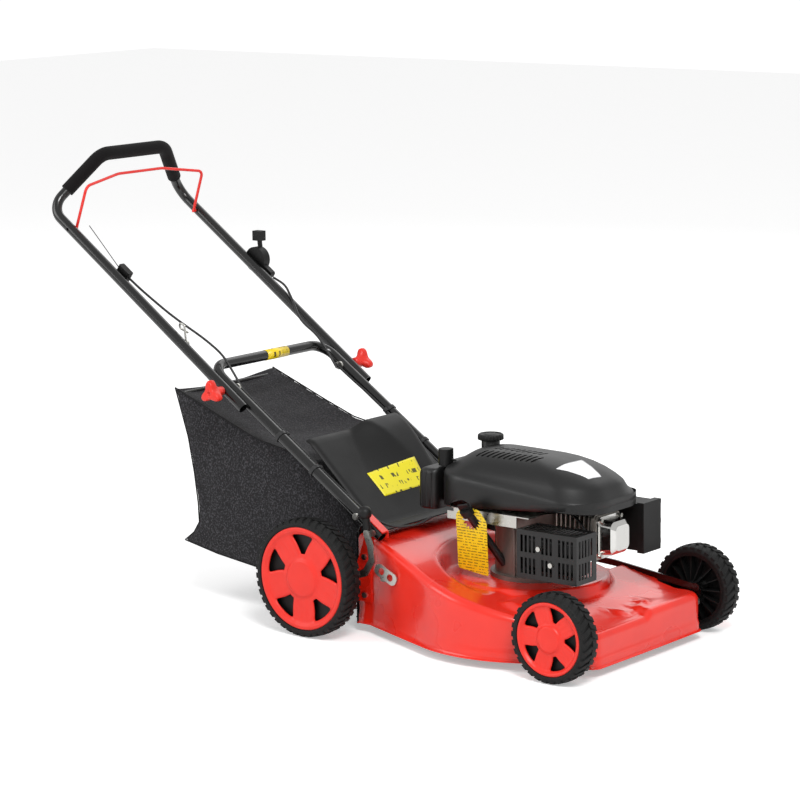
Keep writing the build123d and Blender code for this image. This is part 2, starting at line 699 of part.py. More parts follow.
# ---- rear door over the chute, resting on the bag ----
door_slope_angle = 43.0
door_reach = 242.0
door_thick = 3.0
barrel_half = 150.0
hook_y = 163.3
hook_r = 2.4
door_back_x = door_pivot_x - door_reach * math.cos(math.radians(door_slope_angle))
door_back_z = door_pivot_z + door_reach * math.sin(math.radians(door_slope_angle))
with BuildPart() as rear_door:
    add(pin_y(door_pivot_x, door_pivot_z, 6.5, -door_half, door_half))
    with BuildSketch(side_plane(door_half)):
        Polygon((door_pivot_x - 4, door_pivot_z + 2), (door_back_x, door_back_z),
                (door_back_x + 2, door_back_z + 3.5), (door_pivot_x, door_pivot_z + 6.5), align=None)
    extrude(amount=2 * door_half)
    with BuildSketch(side_plane(76)):
        Polygon((door_pivot_x - 6, door_pivot_z + 5), (door_back_x, door_back_z + 2),
                (door_back_x + 24, door_back_z + 25), (door_back_x + 30, door_back_z + 23),
                (door_pivot_x - 2, door_pivot_z + 12), align=None)
    extrude(amount=152)
    with BuildSketch(side_plane(door_half)):
        Polygon((door_pivot_x - 2, door_pivot_z + 5), (door_pivot_x + 30, door_pivot_z - 3),
                (door_pivot_x + 30, door_pivot_z), (door_pivot_x + 2, door_pivot_z + 9), align=None)
    extrude(amount=2 * door_half)
    add(pin_y(door_pivot_x, door_pivot_z, door_rod_r + running_gap, -door_half - 1, door_half + 1),
        mode=Mode.SUBTRACT)
    # clearance at each end for the bag's hook and the spring
    for side in (-1, 1):
        low, high = sorted((side * barrel_half, side * (door_half + 1)))
        add(box(door_pivot_x - 14, door_pivot_x + 32, low, high, door_pivot_z - 14, door_pivot_z + 16),
            mode=Mode.SUBTRACT)
save(rear_door.part, "rear_door")

with BuildPart() as door_rod:
    add(pin_y(door_pivot_x, door_pivot_z, door_rod_r, -bracket_out - 2, bracket_out + 2))
    for side in (-1, 1):
        low, high = sorted((side * (bracket_out + 0.3), side * (bracket_out + 2.5)))
        add(pin_y(door_pivot_x, door_pivot_z, 5, low, high, door_rod_r - 0.01))
save(door_rod.part, "door_rod")

spring_in = barrel_half + 0.5
spring_out = hook_y - hook_r - 0.5
with BuildPart() as door_spring:
    turns = 5
    pitch = (spring_out - spring_in) / turns
    for turn in range(turns):
        low = spring_in + pitch * turn
        add(pin_y(door_pivot_x, door_pivot_z, 5.4, low, low + pitch - 0.2, door_rod_r + 0.2))
    add(pin_y(door_pivot_x, door_pivot_z, 4.6, spring_in, spring_out, door_rod_r + 0.2))
save(door_spring.part, "door_spring")

# ---- grass bag ----
bag_outline = [(bag_mouth_x, 132), (bag_mouth_x, 212), (-452, 345), (-600, 372), (-833, 460),
               (-764, 170), (-814, 128), (-611, 94), (-430, 84), (-378, 126)]
with BuildPart() as grass_bag:
    with BuildSketch(side_plane(bag_half)):
        with BuildLine():
            Polyline(*bag_outline, close=True)
        make_face()
    extrude(amount=2 * bag_half)
    with BuildSketch(side_plane(bag_half - bag_wall)):
        with BuildLine():
            Polyline(*bag_outline, close=True)
        make_face()
        offset(amount=-bag_wall, kind=Kind.INTERSECTION)
    extrude(amount=2 * (bag_half - bag_wall), mode=Mode.SUBTRACT)
    add(box(bag_mouth_x - 10, bag_mouth_x + 10, -bag_half + 8, bag_half - 8, 138, 206), mode=Mode.SUBTRACT)
    # notch in each top corner of the mouth for the frame's hook
    for side in (-1, 1):
        low, high = sorted((side * (bag_half - 14), side * (bag_half + 1)))
        add(box(bag_mouth_x - 10, bag_mouth_x + 10, low, high, 194, 230), mode=Mode.SUBTRACT)
save(grass_bag.part, "grass_bag")

wire_y = bag_half - bag_wall - bag_wire_r - 0.3
frame_side = [(bag_mouth_x - 6, wire_y, 140), (bag_mouth_x - 6, wire_y, 206), (-452, wire_y, 336.5),
              (-601, wire_y, 364), (-819, wire_y, 446)]
frame_points = [(x, -y, z) for x, y, z in frame_side] + frame_side[::-1]
with BuildPart() as bag_frame:
    add(wire(frame_points, [16, 50, 60, 18, 18, 60, 50, 16], bag_wire_r))
    add(pin_y(bag_mouth_x - 6, 140, bag_wire_r, -wire_y, wire_y))
    hook_z = door_pivot_z + door_rod_r + hook_r + 0.3
    for side in (-1, 1):
        add(wire([(bag_mouth_x - 6, side * wire_y, 202), (bag_mouth_x + 5, side * (hook_y - 1), 222),
                  (bag_mouth_x + 18, side * hook_y, hook_z), (door_pivot_x + 4, side * hook_y, hook_z)],
                 [5, 8], hook_r))
save(bag_frame.part, "bag_frame")

# ---- blade and crankshaft ----
boss_top_z = 74.0
blade_thick = 4.0
blade_half = 25.0
with BuildPart() as blade:
    with BuildSketch(Plane.XY.offset(blade_z)):
        Rectangle(2 * blade_r, 2 * blade_half)
        Circle(blade_r, mode=Mode.INTERSECT)
        Circle(bolt_r + 1, mode=Mode.SUBTRACT)
    extrude(amount=blade_thick)
    for side in (-1, 1):
        low, high = sorted((side * blade_r * 0.58, side * blade_r * 0.97))
        wing_low, wing_high = sorted((side * (blade_half - 5), side * (blade_half - 2)))
        add(box(low, high, wing_low, wing_high, blade_z, blade_z + 16))
save(blade.part, "blade")

with BuildPart() as blade_boss:
    with BuildSketch(Plane.XY.offset(blade_z + blade_thick)):
        Circle(24)
    extrude(amount=8)
    with BuildSketch(Plane.XY.offset(blade_z + blade_thick + 8)):
        Circle(19)
        Circle(crankshaft_r, mode=Mode.SUBTRACT)
    extrude(amount=boss_top_z - blade_z - blade_thick - 8)
    with BuildSketch(Plane.XY.offset(blade_z - 3)):
        Circle(17)
    extrude(amount=3)
    with BuildSketch(Plane.XY.offset(blade_z - 10)):
        RegularPolygon(9, 6)
    extrude(amount=7)
    with BuildSketch(Plane.XY.offset(blade_z - 3)):
        Circle(bolt_r + 1)
    extrude(amount=blade_thick + 4)
save(blade_boss.part, "blade_boss")

web_low_z = 176.0
flywheel_z = crankcase_top_z + 10
with BuildPart() as crankshaft:
    with BuildSketch(Plane.XY.offset(blade_z + blade_thick + 8)):
        Circle(crankshaft_r)
    extrude(amount=flywheel_z + 40 - blade_z - blade_thick - 8)
    for low in (web_low_z, cylinder_z + 10):
        with BuildSketch(Plane.XY.offset(low)):
            Circle(34)
            Rectangle(50, 100, mode=Mode.INTERSECT)
        extrude(amount=12)
    with BuildSketch(Plane.XY.offset(web_low_z)):
        with Locations((0, 26)):
            Circle(13)
    extrude(amount=cylinder_z + 22 - web_low_z)
save(crankshaft.part, "crankshaft")

with BuildPart() as flywheel:
    with BuildSketch(Plane.XY.offset(flywheel_z)):
        Circle(84)
        Circle(crankshaft_r, mode=Mode.SUBTRACT)
    extrude(amount=8)
    with BuildSketch(Plane.XY.offset(flywheel_z + 8)):
        Circle(84)
        Circle(72, mode=Mode.SUBTRACT)
        Circle(24)
        Circle(crankshaft_r, mode=Mode.SUBTRACT)
    extrude(amount=12)
    with BuildSketch(Plane.XY.offset(flywheel_z + 8)):
        with PolarLocations(49, 16):
            Rectangle(30, 2.5)
    extrude(amount=16)
save(flywheel.part, "flywheel")

# ---- crankcase with its base flange and shaft bearings ----
case_wall = 6.0
case_face_x = crankcase_r - 6
with BuildPart() as crankcase:
    with BuildSketch(Plane.XY.offset(seat_z)):
        Circle(flange_r)
    extrude(amount=9)
    with BuildSketch(Plane.XY.offset(seat_z)):
        Circle(crankcase_r)
    extrude(amount=crankcase_top_z - seat_z)
    with BuildSketch(Plane.XY.offset(seat_z + 22)):
        Circle(crankcase_r - case_wall)
    extrude(amount=crankcase_top_z - seat_z - 30, mode=Mode.SUBTRACT)
    with BuildSketch(Plane.XY.offset(seat_z - 8)):
        Circle(crankshaft_r + 8)
    extrude(amount=crankcase_top_z - seat_z + 12)
    with BuildSketch(Plane.XY.offset(seat_z + 30)):
        Circle(crankcase_r - case_wall)
    extrude(amount=crankcase_top_z - seat_z - 40, mode=Mode.SUBTRACT)
    with BuildSketch(Plane.XY.offset(seat_z - 20)):
        Circle(crankshaft_r + running_gap)
    extrude(amount=200, mode=Mode.SUBTRACT)
    add(box(case_face_x, crankcase_r + 20, -crankcase_r, crankcase_r, seat_z + 9, crankcase_top_z + 10),
        mode=Mode.SUBTRACT)
    for angle in (75, 100, 125, 150, 175, 200, 275, 300):
        with BuildSketch(Plane.XY.offset(seat_z + 8)):
            with PolarLocations(crankcase_r + 1, 1, angle):
                Rectangle(8, 3)
        extrude(amount=crankcase_top_z - seat_z - 40)
    with BuildSketch(Plane.XY.offset(seat_z + 5)):
        with PolarLocations(flange_r - 12, 3, 90):
            Circle(4.2)
    extrude(amount=-20, mode=Mode.SUBTRACT)
save(crankcase.part, "crankcase")

# ---- cylinder, head and rocker cover ----
bore_r = 32.5
fin_thick = 2.6
fin_count = 9
cylinder_x = case_face_x + 0.1
with BuildPart() as cylinder:
    with BuildSketch(Plane.YZ.offset(cylinder_x)):
        with Locations((0, cylinder_z)):
            Circle(37)
    extrude(amount=head_x - cylinder_x)
    fin_pitch = (head_x - 6 - cylinder_x - 8) / (fin_count - 1)
    for index in range(fin_count):
        with BuildSketch(Plane.YZ.offset(cylinder_x + 8 + fin_pitch * index)):
            with Locations((0, cylinder_z)):
                RectangleRounded(2 * fin_half, 92, 8)
        extrude(amount=fin_thick)
    with BuildSketch(Plane.YZ.offset(head_x - 12)):
        with Locations((0, cylinder_z)):
            RectangleRounded(2 * fin_half - 4, 88, 8)
    extrude(amount=12)
    with BuildSketch(Plane.YZ.offset(cylinder_x)):
        with Locations((0, cylinder_z)):
            Circle(bore_r)
    extrude(amount=head_x - cylinder_x - 24, mode=Mode.SUBTRACT)
save(cylinder.part, "cylinder")

rocker_depth = 36.0
with BuildPart() as rocker_cover:
    with BuildSketch(Plane.YZ.offset(head_x)):
        with Locations((0, cylinder_z)):
            RectangleRounded(2 * fin_half - 8, 84, 12)
    extrude(amount=5)
    with BuildSketch(Plane.YZ.offset(head_x + 5)) as dome_base:
        with Locations((0, cylinder_z)):
            RectangleRounded(68, 72, 14)
    with BuildSketch(Plane.YZ.offset(head_x + rocker_depth - 8)) as dome_middle:
        with Locations((0, cylinder_z)):
            RectangleRounded(62, 66, 14)
    with BuildSketch(Plane.YZ.offset(head_x + rocker_depth)) as dome_top:
        with Locations((0, cylinder_z)):
            RectangleRounded(46, 50, 10)
    loft(sections=[dome_base.sketch, dome_middle.sketch], ruled=True)
    loft(sections=[dome_middle.sketch, dome_top.sketch], ruled=True)
save(rocker_cover.part, "rocker_cover")

plug_seat_gap = 0.95
with BuildPart() as spark_plug:
    with BuildSketch(Plane(origin=(head_x - 6, -fin_half - plug_seat_gap, cylinder_z + 4), z_dir=(0.25, -1, 0))):
        Circle(7)
    extrude(amount=14)
    with BuildSketch(Plane(origin=(head_x - 3, -fin_half - 9, cylinder_z + 4), z_dir=(0.25, -1, 0))):
        Circle(8.5)
    extrude(amount=26)
    add(wire([(head_x + 1, -fin_half - 30, cylinder_z + 4), (head_x - 1, -fin_half - 32, cylinder_z + 22),
              (head_x - 22, -fin_half - 22, cylinder_z + 36), (head_x - 60, -fin_half - 12, cylinder_z + 56)],
             [12, 20], 2.6))
save(spark_plug.part, "spark_plug")

# ---- muffler and its slotted guard ----
guard_x0, guard_x1 = 73.0, 216.0
guard_y0, guard_y1 = -165.0, -97.0
guard_z0, guard_z1 = 170.0, 267.0
guard_wall = 2.0
muffler_gap = 12.0
with BuildPart() as muffler:
    add(box(guard_x0 + muffler_gap, guard_x1 - muffler_gap, guard_y0 + muffler_gap, guard_y1 - 4,
            guard_z0 + muffler_gap, guard_z1 - muffler_gap))
    fillet(muffler.edges().filter_by(Axis.X), 14)
    add(pin_y(140, cylinder_z - 10, 12, guard_y1 - 5, -fin_half - 0.1))
save(muffler.part, "muffler")

guard_screws = ((guard_x0 + 53, guard_z1 - 34), (guard_x0 + 82, guard_z0 + 34))
with BuildPart() as muffler_guard:
    add(box(guard_x0, guard_x1, guard_y0, guard_y1, guard_z0, guard_z1))
    add(box(guard_x0 + guard_wall, guard_x1 - guard_wall, guard_y0 + guard_wall, guard_y1 + 5,
            guard_z0 + guard_wall, guard_z1 - guard_wall), mode=Mode.SUBTRACT)
    slot_w, slot_pitch = 5.5, 10.0
    rows = ((guard_z0 + 10, guard_z0 + 42), (guard_z0 + 53, guard_z1 - 10))
    for low_z, high_z in rows:
        for index in range(13):
            x = guard_x0 + 9 + slot_pitch * index
            if index not in (4, 8):
                add(box(x, x + slot_w, guard_y0 - 3, guard_y0 + 5, low_z, high_z), mode=Mode.SUBTRACT)
        for index in range(5):
            y = guard_y0 + 8 + slot_pitch * index
            add(box(guard_x1 - 5, guard_x1 + 3, y, y + slot_w, low_z, high_z), mode=Mode.SUBTRACT)
    for index in range(13):
        x = guard_x0 + 9 + slot_pitch * index
        add(box(x, x + slot_w, guard_y0 + 10, guard_y1 - 10, guard_z1 - 5, guard_z1 + 3), mode=Mode.SUBTRACT)
    for x, z in guard_screws:
        add(pin_y(x, z, 7, guard_y0, guard_y0 + guard_wall))
        add(pin_y(x, z, 3.1, guard_y0 - 3, guard_y0 + 5), mode=Mode.SUBTRACT)
save(muffler_guard.part, "muffler_guard")

# ---- carburettor and air filter ----
air_x0, air_x1 = 122.0, 214.0
air_y0, air_y1 = 74.0, 132.0
air_z0, air_z1 = 194.0, 290.0
with BuildPart() as carburettor:
    add(box(136, 164, fin_half + 0.1, air_y0, 222, 252))
    with BuildSketch(Plane.XY.offset(200)):
        with Locations((150, 60)):
            Circle(13)
    extrude(amount=24)
save(carburettor.part, "carburettor")

with BuildPart() as air_filter_box:
    add(box(air_x0, air_x1 - 16, air_y0, air_y1, air_z0, air_z1))
    add(box(air_x0 + 3, air_x1 - 19, air_y0 + 3, air_y1 - 3, air_z0 + 3, air_z1 - 3), mode=Mode.SUBTRACT)
    add(box(air_x1 - 15.8, air_x1, air_y0 - 2, air_y1 + 2, air_z0 - 4, air_z1 + 3))
    for z in (air_z0 + 6, (air_z0 + air_z1) / 2, air_z1 - 8):
        add(box(air_x1 - 14, air_x1 - 4, air_y1 + 1, air_y1 + 9, z, z + 9))
save(air_filter_box.part, "air_filter_box")

# ---- sheet plate under the engine cover ----
with BuildPart() as blower_plate:
    with BuildSketch(Plane.XY.offset(crankcase_top_z)):
        rim_gap = cover_wall + 0.5
        with Locations(((cover_rear_x + cover_front_x) / 2, 0)):
            RectangleRounded(cover_front_x - cover_rear_x - 2 * rim_gap, 2 * cover_half - 2 * rim_gap,
                             cover_corner_r - rim_gap)
        with Locations((-46, 0)):
            Rectangle(216, 2 * cover_half, mode=Mode.INTERSECT)
        Circle(30, mode=Mode.SUBTRACT)
    extrude(amount=2)
    strip_y = -(cover_half - cover_wall - 0.5)
    add(box(-124, 32, strip_y, strip_y + 2, crankcase_top_z - 22, crankcase_top_z + 0.5))
    add(box(-140, -50, strip_y, strip_y + 2, crankcase_top_z - 22, crankcase_top_z - 6))
save(blower_plate.part, "blower_plate")


# ---- engine cover ----
def cover_section(z, rear, front, half, corner, shift=0.0):
    """Plan section of the cover at one height."""
    with BuildSketch(Plane.XY.offset(z)) as section:
        with Locations(((rear + front) / 2, shift)):
            RectangleRounded(front - rear, 2 * half, corner)
    return section.sketch


def cover_form(inset):
    """Outer form of the cover, or with an inset its hollow."""
    bottom = crankcase_top_z - 6 - inset
    sections = [cover_section(bottom, cover_rear_x + inset, cover_front_x - inset, cover_half - inset,
                              cover_corner_r - inset),
                cover_section(330, cover_rear_x + inset, cover_front_x - 4 - inset, cover_half - 2 - inset,
                              cover_corner_r - inset),
                cover_section(366, cover_rear_x + 30 + inset, cover_front_x - 62 - inset,
                              cover_half - 22 - inset, 70 - inset),
                cover_section(cover_top_z - inset, cover_rear_x + 60 + inset, cover_front_x - 140 - inset,
                              cover_half - 62 - inset, 40 - inset)]
    with BuildPart() as form:
        for low, high in zip(sections, sections[1:]):
            loft(sections=[low, high], ruled=True)
    return form.part


tank_x0, tank_x1 = -234.0, -112.0
tank_half = 88.0
tank_inner_half = 60.0
tank_z0, tank_z1 = 258.0, 342.0
tank_step_z = crankcase_top_z + 6
cap_x, cap_y = -138.0, 36.0
cap_r = 27.0
neck_r = 19.0
neck_top_z = cover_top_z + 1.5
post_r = 7.0
pulley_z = 344.0
starter_x, starter_y, starter_z = -191.0, -46.0, 362.0
pull = Vector(-0.92, -0.22, 0.32).normalized()
rope_r = 2.5
with BuildPart() as engine_cover:
    add(cover_form(0))
    add(cover_form(cover_wall), mode=Mode.SUBTRACT)
    with BuildSketch(side_plane(cover_half + 20)):
        Polygon((cover_rear_x - 20, 200), (cover_rear_x - 20, 268), (cover_front_x + 20, 302),
                (cover_front_x + 20, 200), align=None)
    extrude(amount=2 * cover_half + 40, mode=Mode.SUBTRACT)
    add(box(cover_rear_x - 10, cover_rear_x + 26, -tank_inner_half - body_gap,
            tank_inner_half + body_gap, tank_z0 - 20, tank_z1 + body_gap), mode=Mode.SUBTRACT)
    with BuildSketch(Plane.XY.offset(pulley_z)):
        Circle(post_r)
    extrude(amount=cover_top_z - 2 - pulley_z)
    with BuildSketch(Plane.XY.offset(pulley_z + 5)):
        with Locations((cap_x, cap_y)):
            Circle(neck_r + body_gap)
    extrude(amount=80, mode=Mode.SUBTRACT)
    with BuildSketch(Plane(origin=(starter_x, starter_y, starter_z), z_dir=-pull)):
        Circle(rope_r + body_gap)
    extrude(amount=50, mode=Mode.SUBTRACT)
    for row in range(2):
        for index in range(9):
            slot_x = -72 + 15 * index
            add(box(slot_x, slot_x + 7, -42 + 30 * row, -18 + 30 * row, cover_top_z - 30, cover_top_z + 5),
                mode=Mode.SUBTRACT)
save(engine_cover.part, "engine_cover")

with BuildPart() as recoil_pulley:
    with BuildSketch(Plane.XY.offset(pulley_z)):
        Circle(42)
        Circle(post_r + running_gap, mode=Mode.SUBTRACT)
    extrude(amount=3)
    with BuildSketch(Plane.XY.offset(pulley_z + 3)):
        Circle(34)
        Circle(post_r + running_gap, mode=Mode.SUBTRACT)
    extrude(amount=6)
    with BuildSketch(Plane.XY.offset(pulley_z + 9)):
        Circle(42)
        Circle(post_r + running_gap, mode=Mode.SUBTRACT)
    extrude(amount=3)
save(recoil_pulley.part, "recoil_pulley")

with BuildPart() as fuel_tank:
    add(box(tank_x0, cover_rear_x - 0.5, -tank_half, tank_half, tank_z0, tank_z1))
    add(box(cover_rear_x - 1, tank_x1, -tank_inner_half, tank_inner_half, tank_step_z, tank_z1))
    with BuildSketch(Plane.XY.offset(tank_z1 - 1)):
        with Locations((cap_x, cap_y)):
            Circle(neck_r)
    extrude(amount=neck_top_z - tank_z1 + 1)
    add(box(tank_x0 + 3, cover_rear_x - 3.5, -tank_half + 3, tank_half - 3, tank_z0 + 3, tank_z1 - 3),
        mode=Mode.SUBTRACT)
    add(box(cover_rear_x - 4, tank_x1 - 3, -tank_inner_half + 3, tank_inner_half - 3, tank_step_z + 3, tank_z1 - 3),
        mode=Mode.SUBTRACT)
    with BuildSketch(Plane.XY.offset(tank_z1 - 10)):
        with Locations((cap_x, cap_y)):
            Circle(neck_r - 3)
    extrude(amount=100, mode=Mode.SUBTRACT)
save(fuel_tank.part, "fuel_tank")

with BuildPart() as fuel_cap:
    with BuildSketch(Plane.XY.offset(neck_top_z + 0.3)):
        with Locations((cap_x, cap_y)):
            Circle(cap_r)
    extrude(amount=12)
    with BuildSketch(Plane.XY.offset(neck_top_z - 12)):
        with Locations((cap_x, cap_y)):
            Circle(neck_r - 3 - running_gap)
    extrude(amount=14)
save(fuel_cap.part, "fuel_cap")

with BuildPart() as starter_grip:
    with BuildSketch(Plane(origin=(starter_x, starter_y, tank_z1 + 3), z_dir=(0, 0, 1))):
        RectangleRounded(27, 30, 11)
    extrude(amount=34)
    with BuildSketch(Plane(origin=(starter_x, starter_y, starter_z), z_dir=-pull)):
        Circle(rope_r)
    extrude(amount=36)
save(starter_grip.part, "starter_grip")

# ---- oil filler tube, dipstick and hang tag ----
tube_foot = Vector(-26, -72, 166)
tube_top = Vector(-62, -140, 274)
tube_way = (tube_top - tube_foot).normalized()
filler_r = 8.5
with BuildPart() as oil_filler_tube:
    with BuildSketch(Plane(origin=tube_foot, z_dir=tube_way)):
        Circle(filler_r)
    extrude(amount=(tube_top - tube_foot).length)
    with BuildSketch(Plane.XY.offset(seat_z - 1)):
        Circle(crankcase_r + 0.3)
    extrude(amount=140, mode=Mode.SUBTRACT)
    with BuildSketch(Plane(origin=tube_foot, z_dir=tube_way)):
        Circle(filler_r - 2)
    extrude(amount=200, mode=Mode.SUBTRACT)
save(oil_filler_tube.part, "oil_filler_tube")

with BuildPart() as dipstick:
    with BuildSketch(Plane(origin=tube_top + tube_way * 0.3, z_dir=tube_way)):
        Circle(14)
    extrude(amount=14)
    with BuildSketch(Plane(origin=tube_top + tube_way * 2, z_dir=tube_way)):
        Rectangle(5, 30)
    extrude(amount=24)
    with BuildSketch(Plane(origin=tube_top + tube_way * 1, z_dir=-tube_way)):
        Circle(2)
    extrude(amount=74)
save(dipstick.part, "dipstick")

tag_y = -121.0
tag_thick = 0.8
tag_share = (tag_y - tag_thick / 2 - tube_foot.Y) / tube_way.Y
tag_hole = tube_foot + tube_way * tag_share
tag_lean = math.degrees(math.atan2(tube_way.Z, tube_way.X))
with BuildPart() as hang_tag:
    with BuildSketch(Plane(origin=(-76, tag_y, 217), x_dir=(1, 0, 0), z_dir=(0, -1, 0))):
        with Locations(Location((0, 0, 0), (0, 0, -4))):
            RectangleRounded(76, 146, 12)
        with Locations(Location((tag_hole.X + 76, tag_hole.Z - 217, 0), (0, 0, tag_lean))):
            Ellipse(filler_r / abs(tube_way.Y) + 1.1, filler_r + 0.5, mode=Mode.SUBTRACT)
    extrude(amount=tag_thick)
save(hang_tag.part, "hang_tag")

# ---- fasteners ----
with BuildPart() as deck_bolts:
    for side in (-1, 1):
        for x in leg_bolt_x:
            low, high = sorted((side * bracket_in, side * (lower_leg_y + tube_r + 5)))
            add(pin_y(x, leg_z(x), bolt_r - 0.05, low, high))
            low, high = sorted((side * (lower_leg_y + tube_r + 0.2), side * (lower_leg_y + tube_r + 5)))
            add(pin_y(x, leg_z(x), 7, low, high))
        for z in (80, 160):
            low, high = sorted((side * bracket_out, side * (bracket_out + 4)))
            add(pin_y((deck_rear_x + deck_flank_x) / 2, z, 6, low, high))
save(deck_bolts.part, "deck_bolts")

with BuildPart() as engine_bolts:
    with BuildSketch(Plane.XY.offset(seat_z - deck_wall - 6)):
        with PolarLocations(flange_r - 12, 3, 90):
            RegularPolygon(7, 6)
    extrude(amount=5.9)
    with BuildSketch(Plane.XY.offset(seat_z - deck_wall - 1)):
        with PolarLocations(flange_r - 12, 3, 90):
            Circle(4)
    extrude(amount=7)
    for x, z in guard_screws:
        add(pin_y(x, z, 3, guard_y0 - 1, guard_y0 + muffler_gap))
        add(pin_y(x, z, 5, guard_y0 - 4, guard_y0))
    for y in (-1, 1):
        for z in (-1, 1):
            with BuildSketch(Plane.YZ.offset(head_x + 5)):
                with Locations((y * 34, cylinder_z + z * 36)):
                    RegularPolygon(4.5, 6)
            extrude(amount=6)
save(engine_bolts.part, "engine_bolts")
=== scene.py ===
import math

import bmesh
import bpy
from mathutils import Matrix, Vector, noise
from mathutils.bvhtree import BVHTree


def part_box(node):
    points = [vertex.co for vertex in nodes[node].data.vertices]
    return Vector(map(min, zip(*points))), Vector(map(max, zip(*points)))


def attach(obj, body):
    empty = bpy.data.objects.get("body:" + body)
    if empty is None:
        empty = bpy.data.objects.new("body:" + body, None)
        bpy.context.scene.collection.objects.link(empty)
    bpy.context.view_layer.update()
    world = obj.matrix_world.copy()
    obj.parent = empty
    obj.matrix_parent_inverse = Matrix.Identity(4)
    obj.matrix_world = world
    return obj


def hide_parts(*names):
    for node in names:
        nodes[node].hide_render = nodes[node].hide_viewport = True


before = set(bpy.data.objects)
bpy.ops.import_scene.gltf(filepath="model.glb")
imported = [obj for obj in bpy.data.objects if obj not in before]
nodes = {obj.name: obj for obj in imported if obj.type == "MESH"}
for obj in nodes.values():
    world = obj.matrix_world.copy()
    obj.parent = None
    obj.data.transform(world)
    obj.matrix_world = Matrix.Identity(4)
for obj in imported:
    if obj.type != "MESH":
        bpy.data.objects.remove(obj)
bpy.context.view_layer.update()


def add_object(name, data):
    """New object in the scene for some data."""
    new = bpy.data.objects.new(name, data)
    bpy.context.scene.collection.objects.link(new)
    return new


def as_data(name, mesh):
    """Turns a bmesh into mesh data and frees it."""
    data = bpy.data.meshes.new(name)
    mesh.to_mesh(data)
    mesh.free()
    return data


# ---------------------------------------------------------------- camera
# A long lens, seen from ahead of the mower's right side and a little above.
# The aim is a point over the handle's fold, so the whole mower fits the square frame.
compass, pitch, roll = math.radians(38.3), math.radians(10.2), math.radians(-0.7)
level = Vector((-math.sin(compass), math.cos(compass), 0))
across = Vector((math.cos(compass), math.sin(compass), 0))
forward = level * math.cos(pitch) - Vector((0, 0, math.sin(pitch)))
upward = across.cross(forward)
right = across * math.cos(roll) + upward * math.sin(roll)
up = upward * math.cos(roll) - across * math.sin(roll)
lens_data = bpy.data.cameras.new("camera")
lens_data.sensor_width = 36.0
lens_data.lens = 136.14
lens_data.clip_end = 50
camera = add_object("camera", lens_data)
place = Matrix((right, up, -forward)).transposed().to_4x4()
place.translation = Vector((-0.3453, 0, 0.4567)) - forward * 6.2899
camera.matrix_world = place
bpy.context.scene.camera = camera


def linear(code):
    """Scene-linear colour of an sRGB hex value."""
    values = [int(code[i:i + 2], 16) / 255 for i in (1, 3, 5)]
    return tuple(v / 12.92 if v < 0.04045 else ((v + 0.055) / 1.055) ** 2.4 for v in values) + (1.0,)


def add_node(tree, kind, inputs=None, **settings):
    """Adds one node with its settings. Each input gets a value, or a link when it is a socket."""
    new = tree.nodes.new(kind)
    for key, value in settings.items():
        setattr(new, key, value)
    for key, value in (inputs or {}).items():
        if isinstance(value, bpy.types.NodeSocket):
            tree.links.new(value, new.inputs[key])
        else:
            new.inputs[key].default_value = value
    return new


def maths(tree, kind, *values):
    """Output of a new maths node over values or sockets."""
    return add_node(tree, "ShaderNodeMath", dict(enumerate(values)), operation=kind).outputs[0]


def make_finish(name, colour, roughness, metallic=0.0, relief=None, gloss=None, tones=None, **sockets):
    """New material on the object's own coordinates in metres, from patterns of a stated size.

    relief is (size, detail, depth, strength), with detail None for cells in place of noise.
    gloss is (size, detail, low, high) and varies the roughness.
    tones is (size, detail, dark, light, from, to) and varies the colour.
    """
    finish = bpy.data.materials.new(name)
    finish.use_nodes = True
    tree = finish.node_tree
    shader = tree.nodes["Principled BSDF"]
    shader.inputs["Base Color"].default_value = linear(colour)
    shader.inputs["Roughness"].default_value = roughness
    shader.inputs["Metallic"].default_value = metallic
    for key, value in sockets.items():
        shader.inputs[key.replace("_", " ")].default_value = value
    where = add_node(tree, "ShaderNodeTexCoord").outputs["Object"]
    for kind, recipe in (("relief", relief), ("gloss", gloss), ("tones", tones)):
        if not recipe:
            continue
        size, detail = recipe[:2]
        if detail is None:
            cells = add_node(tree, "ShaderNodeTexVoronoi", {"Vector": where, "Scale": 1 / size})
            pattern = cells.outputs["Distance"]
        else:
            inputs = {"Vector": where, "Scale": 1 / size, "Detail": detail}
            pattern = add_node(tree, "ShaderNodeTexNoise", inputs).outputs["Fac"]
        if kind == "relief":
            inputs = {"Height": pattern, "Distance": recipe[2], "Strength": recipe[3]}
            bump = add_node(tree, "ShaderNodeBump", inputs)
            tree.links.new(bump.outputs["Normal"], shader.inputs["Normal"])
        elif kind == "gloss":
            inputs = {"Value": pattern, "To Min": recipe[2], "To Max": recipe[3]}
            spread = add_node(tree, "ShaderNodeMapRange", inputs)
            tree.links.new(spread.outputs["Result"], shader.inputs["Roughness"])
        else:
            ramp = add_node(tree, "ShaderNodeValToRGB", {"Fac": pattern})
            for stop, tone, place in zip(ramp.color_ramp.elements, recipe[2:4], recipe[4:6]):
                stop.color, stop.position = linear(tone), place
            tree.links.new(ramp.outputs["Color"], shader.inputs["Base Color"])
    return finish


def opened(finish):
    """A finish's tree, its shader and the object's own coordinates, for a pattern of its own."""
    tree = finish.node_tree
    return tree, tree.nodes["Principled BSDF"], tree.nodes["Texture Coordinate"].outputs["Object"]


def finish_piece(name, mesh, finish, body, replaced=(), slot=None, smooth=True):
    """Turns a bmesh into a named piece that rides on a body and stands for CAD nodes."""
    data = as_data(name, mesh) if isinstance(mesh, bmesh.types.BMesh) else mesh
    for face in data.polygons:
        face.use_smooth = smooth
    data.materials.clear()
    data.materials.append(finish)
    piece = add_object(name, data)
    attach(piece, body)
    if replaced:
        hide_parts(*replaced)
    return piece


